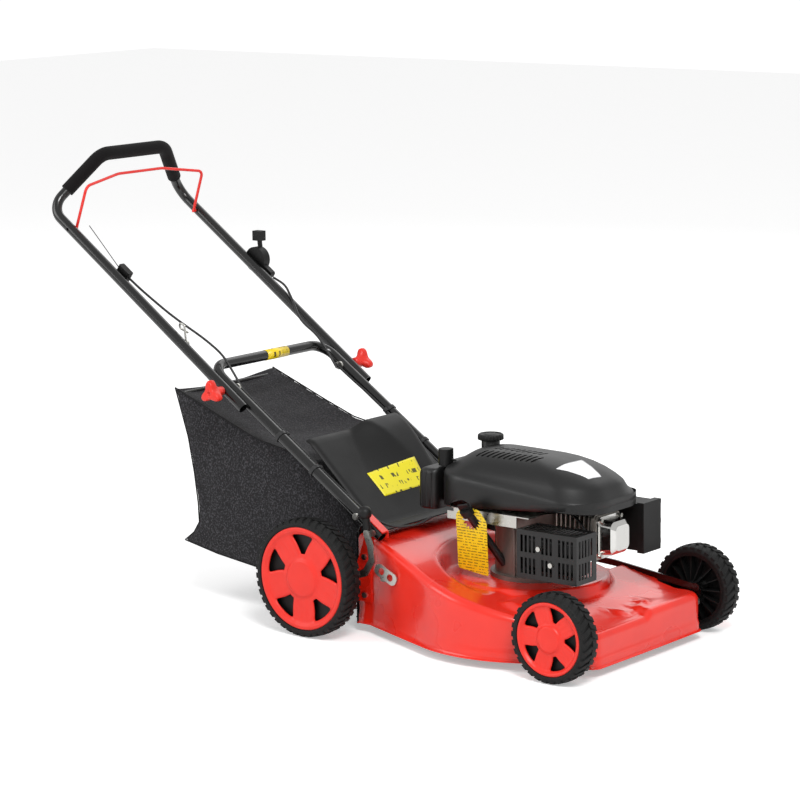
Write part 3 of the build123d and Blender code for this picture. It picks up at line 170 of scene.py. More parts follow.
def crisp(piece, degrees):
    """Marks a piece's sharp edges, so that it shades crisply and its seams stay closed."""
    mesh = bmesh.new()
    mesh.from_mesh(piece.data)
    for edge in mesh.edges:
        if len(edge.link_faces) == 2 and edge.calc_face_angle() > math.radians(degrees):
            edge.smooth = False
    mesh.to_mesh(piece.data)
    mesh.free()


def coat(finish, *names):
    """Gives carried-over CAD nodes their finish."""
    for name in names:
        nodes[name].data.materials.clear()
        nodes[name].data.materials.append(finish)


# ---------------------------------------------------------------- floor and light
# Pale matt studio floor that meets a pale sky, a large soft key light from the upper right,
# and a weaker fill from the left so that the black parts keep their edges.
bpy.context.scene.view_settings.view_transform = "Standard"
floor_finish = make_finish("pale_studio_floor", "#F7F7F7", 0.9, gloss=(1 / 3, 2.0, 0.88, 0.92))
tree, shader, where = opened(floor_finish)
seen = add_node(tree, "ShaderNodeLightPath").outputs["Is Camera Ray"]
shader.inputs["Emission Color"].default_value = (1, 1, 1, 1)
tree.links.new(maths(tree, "MULTIPLY", seen, 0.35), shader.inputs["Emission Strength"])
floor_mesh = bmesh.new()
bmesh.ops.create_grid(floor_mesh, x_segments=4, y_segments=4, size=14)
floor = add_object("floor", as_data("floor", floor_mesh))
floor.data.materials.append(floor_finish)

world = bpy.data.worlds.new("studio")
bpy.context.scene.world = world
world.use_nodes = True
world.node_tree.nodes["Background"].inputs["Color"].default_value = (1, 1, 1, 1)
tree = world.node_tree
seen = add_node(tree, "ShaderNodeLightPath").outputs["Is Camera Ray"]
sky = add_node(tree, "ShaderNodeMapRange", {"Value": seen, "To Min": 0.62, "To Max": 1.05})
tree.links.new(sky.outputs["Result"], tree.nodes["Background"].inputs["Strength"])
for name, spot, size, power in (("key", (2.6, -2.6, 4.2), 1.6, 170), ("fill", (-3.6, -3.4, 2.6), 2.6, 60),
                                ("back", (-1.5, 4.2, 3.4), 4.0, 50)):
    lamp_data = bpy.data.lights.new(name, "AREA")
    lamp_data.size = size
    lamp_data.energy = power
    lamp = add_object(name, lamp_data)
    aim = Vector((-0.3, 0, 0.35)) - Vector(spot)
    lamp.matrix_world = Matrix.Translation(spot) @ aim.to_track_quat("-Z", "Y").to_matrix().to_4x4()

# ---------------------------------------------------------------- deck
# The housing is one deep-drawn sheet of 2 mm steel. The grass tunnel climbs round the blade to the
# rear chute, a ring platform carries the engine, and the rim is rolled outwards.
# Stoved red enamel: a hard clear gloss with a slight orange peel from spraying.
red_enamel = make_finish("stoved_red_enamel", "#E22414", 0.3, IOR=1.5, Coat_Weight=0.35,
                         Coat_Roughness=0.08, relief=(0.004, 1.0, 0.00003, 0.5),
                         gloss=(0.12, 3.0, 0.22, 0.34), tones=(0.12, 3.0, "#DE2010", "#EC2A18", 0.3, 0.7))

deck_r, deck_rear, deck_rear_half, flank_x = 0.262, 0.325, 0.168, 0.290
nose_x, nose_half, nose_corner = 0.276, 0.193, 0.022
rim_z, lip_out, roll_r, sheet = 0.018, 0.0065, 0.015, 0.002
seat_z, seat_r, pocket_r, low_z = 0.136, 0.152, 0.186, 0.098
flank_turn = math.atan2(deck_rear_half, -flank_x) - math.acos(deck_r / math.hypot(flank_x, deck_rear_half))


def deck_reach(turn):
    """Distance from the blade's axis to the housing's wall in one direction."""
    c, s = math.cos(turn), abs(math.sin(turn))
    reach = deck_r
    if c < 0:
        reach = max(reach, min(deck_rear / -c, deck_rear_half / max(s, 1e-6)))
        flat = math.atan2(s, c)
        if flank_turn < flat < math.atan2(deck_rear_half, -flank_x):
            reach = max(reach, deck_r / math.cos(flat - flank_turn))
    elif c > 0:
        ahead = min(nose_x / c, nose_half / max(s, 1e-6))
        corner = Vector((nose_x - nose_corner, nose_half - nose_corner))
        along = corner.x * c + corner.y * s
        offset = corner.length_squared - along ** 2
        if ahead * c > corner.x and ahead * s > corner.y and offset < nose_corner ** 2:
            ahead = along + math.sqrt(nose_corner ** 2 - offset)
        reach = max(reach, ahead)
    return reach


def ease(value, low, high):
    """Smooth step from 0 at low to 1 at high."""
    t = min(1.0, max(0.0, (value - low) / (high - low)))
    return t * t * (3 - 2 * t)


def emboss(x, y, centre, length, width, turn, height):
    """Height of one pressed bead at a point."""
    along = (x - centre[0]) * math.cos(turn) + (y - centre[1]) * math.sin(turn)
    side = (y - centre[1]) * math.cos(turn) - (x - centre[0]) * math.sin(turn)
    spread = (along / length) ** 2 + (side / width) ** 2
    return height * math.exp(-2 * spread * spread)


def roof_z(x, y):
    """Height of the pressing's upper face."""
    r = math.hypot(x, y)
    tunnel = seat_z - 0.235 * x
    share = max(ease(-y, -0.012, 0.02), ease(-x, 0.095, 0.125) * ease(0.165 - y, 0, 0.03))
    z = low_z + (tunnel - low_z) * share
    ahead = 0.084 + 0.22 * (nose_x - x)
    ahead_share = ease(x, 0.045, 0.085) * ease(nose_half + 0.02 - abs(y), 0, 0.02)
    z = max(z, z + (ahead - z) * ahead_share)
    groove = seat_z - 0.005 * ease(r, seat_r, seat_r + 0.006)
    in_pocket = 1 - ease(r, pocket_r - 0.004, pocket_r + 0.012)
    z = z + (min(z, groove) - z) * in_pocket
    on_seat = 1 - ease(r, seat_r - 0.004, seat_r + 0.006)
    z = z + (seat_z - z) * on_seat
    z += emboss(x, y, (0.222, -0.045), 0.030, 0.010, 0.5, 0.007)
    z += emboss(x, y, (0.222, 0.050), 0.030, 0.010, -0.5, 0.007)
    z += emboss(x, y, (0.196, -0.128), 0.050, 0.013, -0.55, 0.005)
    z += emboss(x, y, (0.240, 0.0), 0.012, 0.10, 0.0, 0.003)
    return z


columns = 288
turns = [2 * math.pi * i / columns for i in range(columns)]
corner_turns = [math.atan2(deck_rear_half, -deck_rear), math.atan2(0.146, -deck_rear),
                math.atan2(deck_rear_half, -flank_x), math.asin(nose_half / deck_r)]
for special in corner_turns:
    for value in (special, 2 * math.pi - special):
        nearest = min(range(columns), key=lambda i: abs(turns[i] - value))
        turns[nearest] = value

inner_rings = [0.080, 0.115, 0.140, 0.147, 0.151, 0.154, 0.158, 0.166, 0.175, 0.182, 0.186, 0.190, 0.195,
               0.202, 0.210]
edge_steps = [0.048, 0.038, 0.030, 0.024, 0.0185, 0.0150, 0.0120, 0.0090, 0.0062, 0.0038, 0.0018, 0.0006, 0.0]
skirt_rows = 14


def settle(mesh):
    """Turns the faces of closed shells outwards, and of an open sheet all to one side."""
    bmesh.ops.recalc_face_normals(mesh, faces=mesh.faces)


def face_towards(mesh, direction):
    """Turns an open sheet's faces so that most of its area looks one way."""
    settle(mesh)
    if sum(f.normal.dot(Vector(direction)) * f.calc_area() for f in mesh.faces) < 0:
        bmesh.ops.reverse_faces(mesh, faces=mesh.faces)


def walled(piece, name, thickness):
    """Gives a sheet its thickness, inwards from the modelled face."""
    wall = piece.modifiers.new(name, "SOLIDIFY")
    wall.thickness, wall.offset = thickness, -1


def ring_turns(count):
    """Even angles round a full ring."""
    return [2 * math.pi * i / count for i in range(count)]


def fill_ends(mesh):
    """Closes every open end of a mesh."""
    bmesh.ops.holes_fill(mesh, edges=[e for e in mesh.edges if e.is_boundary], sides=0)


def stack_rings(spots, count):
    """Skin through closed rings. Each spot gives a ring's point for a column number."""
    mesh = bmesh.new()
    ring = {v: i for i, v in enumerate(bmesh.ops.create_circle(mesh, segments=count, radius=1)["verts"])}
    for v, i in ring.items():
        v.co = spots[0](i)
    for spot in spots[1:]:
        edges = [e for e in mesh.edges if e.verts[0] in ring and e.verts[1] in ring]
        new = bmesh.ops.extrude_edge_only(mesh, edges=edges)["geom"]
        fresh = {}
        for v in (g for g in new if isinstance(g, bmesh.types.BMVert)):
            for e in v.link_edges:
                if e.other_vert(v) in ring:
                    fresh[v] = ring[e.other_vert(v)]
        for v, i in fresh.items():
            v.co = spot(i)
        ring = fresh
    settle(mesh)
    return mesh


def on_roof(reach_of):
    """Spot on the roof at a distance from the axis that depends on the column."""
    def spot(i):
        r = reach_of(i)
        x, y = r * math.cos(turns[i]), r * math.sin(turns[i])
        gap = reaches[i] - r
        drop, back = 0.0, 1.0
        if gap < roll_r:
            drop = roll_r - math.sqrt(max(0.0, roll_r ** 2 - (roll_r - gap) ** 2))
            back = (reaches[i] - roll_r) / r
        return Vector((x, y, roof_z(x * back, y * back) - drop))
    return spot


reaches = [deck_reach(turn) for turn in turns]
roof_rings = [on_roof(lambda i, radius=radius: radius) for radius in [0.027, *inner_rings]]
roof_rings += [on_roof(lambda i, step=step: reaches[i] - step) for step in edge_steps]
edge_top = [roof_rings[-1](i).z for i in range(columns)]


def skirt_spot(row):
    """Spot on the outer wall: the lower band stands proud of the wall above it."""
    share = row / skirt_rows

    def spot(i):
        x, y = reaches[i] * math.cos(turns[i]), reaches[i] * math.sin(turns[i])
        z = edge_top[i] + (rim_z + 0.003 - edge_top[i]) * share
        if x < -0.32 and abs(y) < 0.16:
            levels = (0.190, 0.184, 0.17, 0.15, 0.13, 0.11, 0.09, 0.075, 0.06, 0.05, 0.045, 0.035, 0.028,
                      0.021)
            z = levels[row - 1]
        proud = 1 + 0.0022 / reaches[i] * ease(0.042 - z, 0, 0.006)
        return Vector((x * proud, y * proud, z))
    return spot


def lip_spot(out, z):
    """Spot on the rolled lip along the rim."""
    def spot(i):
        r = reaches[i] + out
        return Vector((r * math.cos(turns[i]), r * math.sin(turns[i]), z))
    return spot


deck_rings = roof_rings + [skirt_spot(row) for row in range(1, skirt_rows + 1)]
deck_rings += [lip_spot(0.0045, rim_z + 0.0022), lip_spot(lip_out, rim_z + 0.0016),
               lip_spot(lip_out + 0.0004, rim_z + 0.0002)]
deck_mesh = stack_rings(deck_rings, columns)


def open_faces(mesh, along, half, heights):
    """Opens a mouth in a skin: deletes the faces whose middles lie in a box."""
    inside = []
    for f in mesh.faces:
        middle = f.calc_center_median()
        if (along[0] < middle.x < along[1] and abs(middle.y) < half
                and heights[0] < middle.z < heights[1]):
            inside.append(f)
    bmesh.ops.delete(mesh, geom=inside, context="FACES")


open_faces(deck_mesh, (-1.0, -0.315), 0.145, (0.046, 0.183))
face_towards(deck_mesh, (0, 0, 1))
deck = finish_piece("deck_pressing", deck_mesh, red_enamel, "deck", ["deck_shell"], "red_enamel")
walled(deck, "sheet", sheet)

# ---------------------------------------------------------------- wheels
# Each wheel is a black polypropylene core with a ribbed back, a red moulded cap that clips over its
# outer face, and a rubber tyre pressed over the core. Chevron lugs alternate across the tread.
# Moulded rubber: matt, with a faint bloom where it has been handled.
tyre_rubber = make_finish("moulded_tyre_rubber", "#0C0C0C", 0.66, IOR=1.52, Specular_IOR_Level=0.3,
                          relief=(0.0012, 2.0, 0.0002, 0.5),
                          tones=(0.030, 4.0, "#080808", "#161616", 0.0, 1.0))

# Moulded polypropylene in red: satin, with the slight waviness of a thick moulding.
red_moulding = make_finish("red_polypropylene", "#E42A1C", 0.4, IOR=1.49, relief=(0.035, 2.0, 0.0004, 0.4),
                           tones=(0.035, 2.0, "#DC2618", "#EA2E20", 0.0, 1.0))

# Moulded polypropylene in black, spark-eroded: satin with a grain of about half a millimetre,
# drawn at 0.8 mm so that it shows.
black_moulding = make_finish("black_polypropylene", "#0B0B0B", 0.5, IOR=1.49, Specular_IOR_Level=0.35,
                             relief=(0.0008, 2.0, 0.00015, 0.6), gloss=(0.05, 3.0, 0.42, 0.58))

# Zinc plated steel: pale grey, softly bright, with the small spangle of barrel plating.
zinc = make_finish("zinc_plated_steel", "#C9C8C2", 0.3, 1.0, gloss=(0.004, 3.0, 0.2, 0.42))


def spun(profile, steps):
    """Closed ring spun about the Y axis from (radius, y) points."""
    mesh = bmesh.new()
    verts = [mesh.verts.new((0, y, r)) for r, y in profile]
    edges = [mesh.edges.new(pair) for pair in zip(verts, verts[1:] + verts[:1])]
    bmesh.ops.spin(mesh, geom=verts + edges, axis=(0, 1, 0), cent=(0, 0, 0), angle=2 * math.pi,
                   steps=steps, use_merge=True)
    bmesh.ops.remove_doubles(mesh, verts=mesh.verts, dist=1e-6)
    settle(mesh)
    return mesh


def turned(mesh, angle, axis):
    """Turns a whole mesh about one of the world's axes."""
    bmesh.ops.rotate(mesh, cent=(0, 0, 0), matrix=Matrix.Rotation(angle, 3, axis), verts=mesh.verts)


def moved(mesh, step):
    """Shifts a whole mesh."""
    bmesh.ops.translate(mesh, vec=step, verts=mesh.verts)


def everything(mesh):
    """All of a mesh's parts, for an operator that asks for them."""
    return list(mesh.verts) + list(mesh.edges) + list(mesh.faces)


def join_into(mesh, other):
    """Adds another bmesh to this one and frees it."""
    data = as_data("join", other)
    mesh.from_mesh(data)
    bpy.data.meshes.remove(data)


wheel_y, wheel_width = 0.278, 0.048
tyre_depth, lug = 0.015, 0.0032


def tyre_mesh(radius):
    """Tyre about the origin, its outer wall at +Y: rounded body, side beads and two rows of lugs."""
    half, seat, body = wheel_width / 2, radius - tyre_depth, radius - lug
    profile = [(seat, -half + 0.001), (seat + 0.002, -half), (seat + 0.006, -half + 0.0005),
               (body - 0.004, -half + 0.0012), (body - 0.001, -half + 0.004), (body, -half + 0.008),
               (body, 0), (body, half - 0.008), (body - 0.001, half - 0.004),
               (body - 0.004, half - 0.0012), (seat + 0.006, half - 0.0005), (seat + 0.0052, half),
               (seat + 0.0022, half), (seat, half - 0.001)]
    mesh = spun(profile, 96)
    count = round(2 * math.pi * radius / 0.0185)
    for row in (-1, 1):
        for index in range(count):
            block = bmesh.new()
            bmesh.ops.create_cube(block, size=1.0)
            top = [e for e in block.edges if all(v.co.z > 0 for v in e.verts)]
            bmesh.ops.bevel(block, geom=top, offset=0.12, segments=1, profile=0.5, affect="EDGES",
                            material=-1)
            for v in block.verts:
                share = v.co.y + 0.5
                side_y = row * (0.0015 + share * (half - 0.0022))
                turn = 2 * math.pi * (index + 0.5 * (row > 0) + 0.55 * share) / count
                turn += v.co.x * 0.0112 / radius
                drop = 0.0030 * share ** 6
                base = body - 0.002 - drop * 1.6 if v.co.z < 0 else radius - drop
                v.co = Vector((base * math.sin(turn), side_y, base * math.cos(turn)))
            settle(block)
            join_into(mesh, block)
    return mesh


def cap_mesh(radius):
    """Red cap about the origin, facing +Y: raised rim, dished web with five windows, flat hub."""
    seat = radius - tyre_depth
    outer = wheel_width / 2 - 0.0005
    hub, channel = 0.36 * seat, seat - 0.007
    rows = [(0.0, 0.0), (0.10, 0.0), (0.30, -0.0002), (0.345, -0.001), (0.37, -0.0045), (0.41, -0.0055),
            (0.44, -0.006), (0.47, -0.006), (0.52, -0.006), (0.62, -0.006), (0.72, -0.006), (0.80, -0.0058),
            (0.845, -0.0052), (0.875, -0.004), (0.90, -0.001), (0.93, 0.0), (0.965, 0.0), (0.985, -0.001),
            (0.995, -0.004), (1.0, -0.012)]
    mesh = bmesh.new()
    sector = 2 * math.pi / 5
    across, out = 16, len(rows) - 1
    bmesh.ops.create_grid(mesh, x_segments=across, y_segments=out, size=0.5)
    # Columns count from the sector's middle; a window is open to its fourth column on each side.
    place_of = {v: (round(v.co.x * across), round((v.co.y + 0.5) * out)) for v in mesh.verts}
    pane, window_low, window_high = 4, 7, 12
    for v, (column, row) in place_of.items():
        share, depth = rows[row]
        r = share * seat
        grow = min(1.0, max(0.0, (share - 0.44) / 0.36))
        half_window = (0.13 + 0.34 * grow) * sector / 2
        side = 1 if column >= 0 else -1
        steps = abs(column)
        if steps <= pane:
            turn = half_window * steps / pane
        else:
            turn = half_window + (sector / 2 - half_window) * (steps - pane) / pane
            if 5 < row < 15:
                depth += 0.0007 * (1 if steps in (5, 7) else -1)
        if steps == pane and window_low <= row <= window_high:
            depth -= 0.0008
        turn *= side
        v.co = Vector((r * math.sin(turn), outer + depth, r * math.cos(turn)))
    holes = []
    for f in mesh.faces:
        spots = [place_of[v] for v in f.verts]
        low = min(s[1] for s in spots)
        if abs(sum(s[0] for s in spots) / 4) < pane and window_low <= low < window_high:
            holes.append(f)
    bmesh.ops.delete(mesh, geom=holes, context="FACES")
    at_pane = {v for v, (column, row) in place_of.items()
               if v.is_valid and window_low <= row <= window_high and abs(column) <= pane}
    wall = [e for e in mesh.edges if e.is_boundary and at_pane.issuperset(e.verts)]
    deep = bmesh.ops.extrude_edge_only(mesh, edges=wall)["geom"]
    deep_verts = [g for g in deep if isinstance(g, bmesh.types.BMVert)]
    bmesh.ops.translate(mesh, vec=(0, -0.004, 0), verts=deep_verts)
    bmesh.ops.spin(mesh, geom=everything(mesh), axis=(0, 1, 0),
                   cent=(0, 0, 0), angle=sector * 4, steps=4, use_duplicate=True)
    bmesh.ops.remove_doubles(mesh, verts=mesh.verts, dist=1e-5)
    face_towards(mesh, (0, 1, 0))
    return mesh


def core_mesh(radius):
    """Black core about the origin: channel under the tyre, set-back web, ribs and a long hub."""
    seat, half = radius - tyre_depth, wheel_width / 2
    inner = -half + 0.002
    profile = [(seat, inner), (seat, half - 0.003), (seat - 0.004, half - 0.003),
               (seat - 0.006, half - 0.018), (0.030, half - 0.020), (0.020, half - 0.016),
               (0.020, half - 0.010), (0.0077, half - 0.010), (0.0077, -half - 0.013),
               (0.0155, -half - 0.013), (0.0165, -half + 0.010), (0.024, half - 0.026),
               (seat - 0.009, half - 0.024), (seat - 0.006, inner)]
    mesh = spun(profile, 72)
    for index in range(15):
        rib = bmesh.new()
        bmesh.ops.create_cube(rib, size=1.0)
        for v in rib.verts:
            r = 0.015 if v.co.z < 0 else seat - 0.004
            depth = half - 0.022 if v.co.y > 0 else (-half - 0.002 if v.co.z < 0 else inner + 0.008)
            v.co = Vector((v.co.x * 0.0022, depth, r))
        turned(rib, 2 * math.pi * index / 15, "Y")
        join_into(mesh, rib)
    return mesh


for end, x, radius, start in (("rear", -0.390, 0.123, 0.0), ("front", 0.226, 0.089, 0.31)):
    for hand, side in (("left", 1), ("right", -1)):
        stem = end + "_" + hand
        body = stem + "_wheel"
        for kind, make, finish, replaced, slot in (
                ("tyre", tyre_mesh, tyre_rubber, [stem + "_tyre"], "tyre_rubber"),
                ("cap", cap_mesh, red_moulding, [stem + "_rim"], "red_plastic"),
                ("core", core_mesh, black_moulding, [], "black_plastic")):
            mesh = make(radius)
            turned(mesh, start, "Y")
            if side < 0:
                bmesh.ops.scale(mesh, vec=(1, -1, 1), verts=mesh.verts)
                bmesh.ops.reverse_faces(mesh, faces=mesh.faces)
            moved(mesh, (x, side * (wheel_y - wheel_width / 2), radius))
            piece = finish_piece(body + "_" + kind, mesh, finish, body, replaced, slot)
            if kind == "cap":
                walled(piece, "wall", 0.0018)
                soft = piece.modifiers.new("soft", "SUBSURF")
                soft.levels = soft.render_levels = 1
            else:
                crisp(piece, 35)

# ---------------------------------------------------------------- engine cover and tank
# The blower cover is one deep moulding in black glass-filled nylon: a steep skirt, a crease that falls
# towards the front, a long smooth crown and two rows of air slots. The fuel tank sits behind it.
# Glass-filled nylon, spark-eroded: darker and a little glossier than the wheel cores.
black_nylon = make_finish("black_glass_filled_nylon", "#0A0A0A", 0.4, IOR=1.53, Specular_IOR_Level=0.45,
                          relief=(0.0009, 2.0, 0.00012, 0.6), gloss=(0.07, 4.0, 0.34, 0.5))


def plan_reach(turn, rear, front, half, corner):
    """Distance from the middle of a rounded rectangle to its edge."""
    c, s = abs(math.cos(turn)), abs(math.sin(turn))
    long_half = (front - rear) / 2
    corner = min(corner, long_half - 0.001, half - 0.001)
    reach = min(long_half / max(c, 1e-6), half / max(s, 1e-6))
    middle = Vector((long_half - corner, half - corner))
    if reach * c > middle.x and reach * s > middle.y:
        along = middle.x * c + middle.y * s
        reach = along + math.sqrt(max(0.0, corner ** 2 - (middle.length_squared - along ** 2)))
    return reach


def plan_spot(turns_used, rear, front, half, corner, z, fall=0.0):
    """Ring spot of a rounded rectangle at a height z over the origin, which may fall along x."""
    def spot(i):
        r = plan_reach(turns_used[i], rear, front, half, corner)
        x = (rear + front) / 2 + r * math.cos(turns_used[i])
        return Vector((x, r * math.sin(turns_used[i]), z - fall * x))
    return spot


cover_turns = ring_turns(128)
slant = 34 / 413
foot = 0.268 + 0.207 * slant
# Rows of rear, front, half width, corner, height and fall: the lower edge rises towards the front,
# the crease above it falls, so the near side shows a long sweep.
cover_levels = [
    (-0.1845, 0.2035, 0.1105, 0.080, foot + 0.0005, -slant),
    (-0.1870, 0.2060, 0.1130, 0.080, foot + 0.003, -slant),
    (-0.1870, 0.2060, 0.1130, 0.080, foot + 0.016, -slant),
    (-0.1868, 0.2055, 0.1128, 0.080, 0.3120, 0.085), (-0.1862, 0.2045, 0.1120, 0.079, 0.3240, 0.085),
    (-0.1835, 0.2005, 0.1090, 0.078, 0.3310, 0.085), (-0.1790, 0.1930, 0.1040, 0.076, 0.3350, 0.085),
    (-0.1720, 0.1830, 0.0985, 0.074, 0.3455, 0.050), (-0.1620, 0.1690, 0.0920, 0.071, 0.3540, 0.040),
    (-0.1500, 0.1500, 0.0830, 0.066, 0.3635, 0.032), (-0.1400, 0.1280, 0.0730, 0.060, 0.3715, 0.025),
    (-0.1300, 0.1020, 0.0610, 0.050, 0.3780, 0.020), (-0.1180, 0.0740, 0.0480, 0.040, 0.3828, 0.015),
    (-0.0950, 0.0450, 0.0330, 0.028, 0.3860, 0.010), (-0.0650, 0.0150, 0.0160, 0.014, 0.3874, 0.006),
    (-0.0400, -0.0200, 0.0040, 0.0035, 0.3878, 0.004)]
cover_mesh = stack_rings([plan_spot(cover_turns, *level) for level in cover_levels], 128)
top_edges = [e for e in cover_mesh.edges if e.is_boundary and e.verts[0].co.z > 0.36]
bmesh.ops.contextual_create(cover_mesh, geom=top_edges)
face_towards(cover_mesh, (0, 0, 1))
cover_tree = BVHTree.FromBMesh(cover_mesh)
cover = finish_piece("blower_cover", cover_mesh, black_nylon, "deck", ["engine_cover"], "black_plastic")
walled(cover, "wall", 0.0025)


def apply_modifiers(piece):
    """Replaces a piece's mesh with its finished form."""
    graph = bpy.context.evaluated_depsgraph_get()
    done = bpy.data.meshes.new_from_object(piece.evaluated_get(graph))
    piece.modifiers.clear()
    piece.data = done


def cut_away(piece, mesh):
    """Cuts a mesh out of a piece and applies the result."""
    tool = add_object("tool", as_data("tool", mesh))
    cut = piece.modifiers.new("cut", "BOOLEAN")
    cut.object, cut.operation, cut.solver = tool, "DIFFERENCE", "EXACT"
    apply_modifiers(piece)
    bpy.data.objects.remove(tool)


def rounded_bar(length, width, height, segments=3):
    """Upright slug with round ends, about the origin, for slots and lugs."""
    mesh = bmesh.new()
    bmesh.ops.create_cube(mesh, size=1.0)
    bmesh.ops.scale(mesh, vec=(width, length, height), verts=mesh.verts)
    upright = [e for e in mesh.edges if abs(e.verts[0].co.z - e.verts[1].co.z) > height / 2]
    bmesh.ops.bevel(mesh, geom=upright, offset=width * 0.48, segments=segments, profile=0.5, affect="EDGES",
                    material=-1)
    return mesh


slots_mesh = bmesh.new()
for row in range(2):
    for index in range(11 - 2 * row):
        slug = rounded_bar(0.030 - 0.006 * row, 0.0055, 0.03)
        turned(slug, math.radians(-24), "Z")
        x, y = -0.094 + 0.0132 * index + 0.016 * row, -0.052 + 0.036 * row + 0.0006 * index
        moved(slug, (x, y, 0.381 - 0.0009 * index))
        join_into(slots_mesh, slug)
# An arch in the skirt over the muffler, and the hole for the tank's neck.
for r, lean, squash, spot in ((0.030, 90, (1.15, 1, 0.8), (-0.105, -0.120, 0.270)),
                              (0.0205, 0, (1, 1, 1), (-0.138, 0.036, 0.372))):
    plug = bmesh.new()
    bmesh.ops.create_cone(plug, cap_ends=True, segments=32, radius1=r, radius2=r, depth=0.06)
    turned(plug, math.radians(lean), "X")
    bmesh.ops.scale(plug, vec=squash, verts=plug.verts)
    moved(plug, spot)
    join_into(slots_mesh, plug)
cut_away(cover, slots_mesh)
crisp(cover, 50)

# The tank: two blown halves welded at a vertical seam, with moulded corner ribs.
tank_levels = [(-0.2310, -0.1885, 0.085, 0.012, 0.2585), (-0.2340, -0.1878, 0.088, 0.014, 0.2620),
               (-0.2340, -0.1878, 0.088, 0.014, 0.2980), (-0.2338, -0.1878, 0.0878, 0.014, 0.3300),
               (-0.2320, -0.1880, 0.0860, 0.014, 0.3375), (-0.2270, -0.1885, 0.0810, 0.012, 0.3412),
               (-0.2200, -0.1930, 0.0740, 0.009, 0.3420)]
tank_mesh = stack_rings([plan_spot(cover_turns, *level) for level in tank_levels], 128)
fill_ends(tank_mesh)
for x in (-0.2235, -0.2105, -0.1985):
    for side in (-1, 1):
        rib = rounded_bar(0.004, 0.0045, 0.072, 2)
        moved(rib, (x, side * 0.0865, 0.298))
        join_into(tank_mesh, rib)
for y in (-0.06, -0.03, 0.0, 0.03, 0.06):
    rib = rounded_bar(0.0045, 0.004, 0.072, 2)
    moved(rib, (-0.2325, y, 0.298))
    join_into(tank_mesh, rib)
settle(tank_mesh)
inner_tank = bmesh.new()
bmesh.ops.create_cube(inner_tank, size=1.0)
bmesh.ops.bevel(inner_tank, geom=list(inner_tank.edges), offset=0.08, segments=2, profile=0.5, affect="EDGES",
                material=-1)
bmesh.ops.scale(inner_tank, vec=(0.077, 0.118, 0.060), verts=inner_tank.verts)
moved(inner_tank, (-0.1515, 0, 0.3115))
join_into(tank_mesh, inner_tank)

neck = spun([(0.016, 0.0), (0.019, 0.0), (0.019, 0.0495), (0.0185, 0.0503), (0.016, 0.0503)], 48)
turned(neck, math.radians(90), "X")
moved(neck, (-0.138, 0.036, 0.3402))
join_into(tank_mesh, neck)
tank = finish_piece("fuel_tank_moulding", tank_mesh, black_nylon, "deck", ["fuel_tank"], "black_plastic")
crisp(tank, 40)

# Fuel cap: fluted skirt, recessed top with a raised rim.
cap_turns = ring_turns(144)


def cap_spot(r, z, flute=0.0):
    """Ring spot of the cap; the flutes are a wave round its skirt."""
    def spot(i):
        wave = r + flute * (0.5 + 0.5 * math.cos(24 * cap_turns[i]))
        return Vector((-0.138 + wave * math.cos(cap_turns[i]), 0.036 + wave * math.sin(cap_turns[i]), z))
    return spot


cap_rows = [(0.0155, 0.3795), (0.0155, 0.3912), (0.0240, 0.3910), (0.0252, 0.3912, 0.0015),
            (0.0255, 0.3925, 0.0015), (0.0253, 0.4000, 0.0014), (0.0248, 0.4018, 0.0005), (0.0238, 0.4028),
            (0.0222, 0.4028), (0.0214, 0.4016), (0.0130, 0.4013), (0.0120, 0.4022), (0.0100, 0.4024)]
fuel_cap_mesh = stack_rings([cap_spot(*row) for row in cap_rows], 144)
fill_ends(fuel_cap_mesh)
settle(fuel_cap_mesh)
finish_piece("fluted_fuel_cap", fuel_cap_mesh, black_moulding, "fuel_cap", ["fuel_cap"], "black_plastic")

# ---------------------------------------------------------------- grass bag
# Woven polyester mesh, coated black, sewn in panels over a wire frame: taut along the frame's edges,
# slack and slightly blown out between them, with bound seams down both sides.
# Coated mesh: matt black with paler threads. The 1.2 mm weave is drawn at 4 mm so that it shows.
bag_mesh_cloth = make_finish("coated_polyester_mesh", "#0C0C0C", 0.85, Sheen_Weight=0.08,
                             Specular_IOR_Level=0.2, Sheen_Roughness=0.5)
tree, shader, where = opened(bag_mesh_cloth)
thread = add_node(tree, "ShaderNodeMapping", {"Vector": where, "Scale": (1, 1.2, 0.8)})
knot = add_node(tree, "ShaderNodeTexVoronoi", {"Vector": thread.outputs[0], "Scale": 1 / 0.004})
fibre = add_node(tree, "ShaderNodeTexNoise", {"Vector": thread.outputs[0], "Scale": 1 / 0.003, "Detail": 2.0})
shade = add_node(tree, "ShaderNodeValToRGB", {"Fac": fibre.outputs["Fac"]})
for stop, tone, spot in zip(shade.color_ramp.elements, ("#1B1A1C", "#4A494D"), (0.48, 0.74)):
    stop.color, stop.position = linear(tone), spot
tree.links.new(shade.outputs["Color"], shader.inputs["Base Color"])
weave_bump = add_node(tree, "ShaderNodeBump", {"Height": knot.outputs["Distance"], "Distance": 0.0006,
                                               "Strength": 0.8})
tree.links.new(weave_bump.outputs["Normal"], shader.inputs["Normal"])

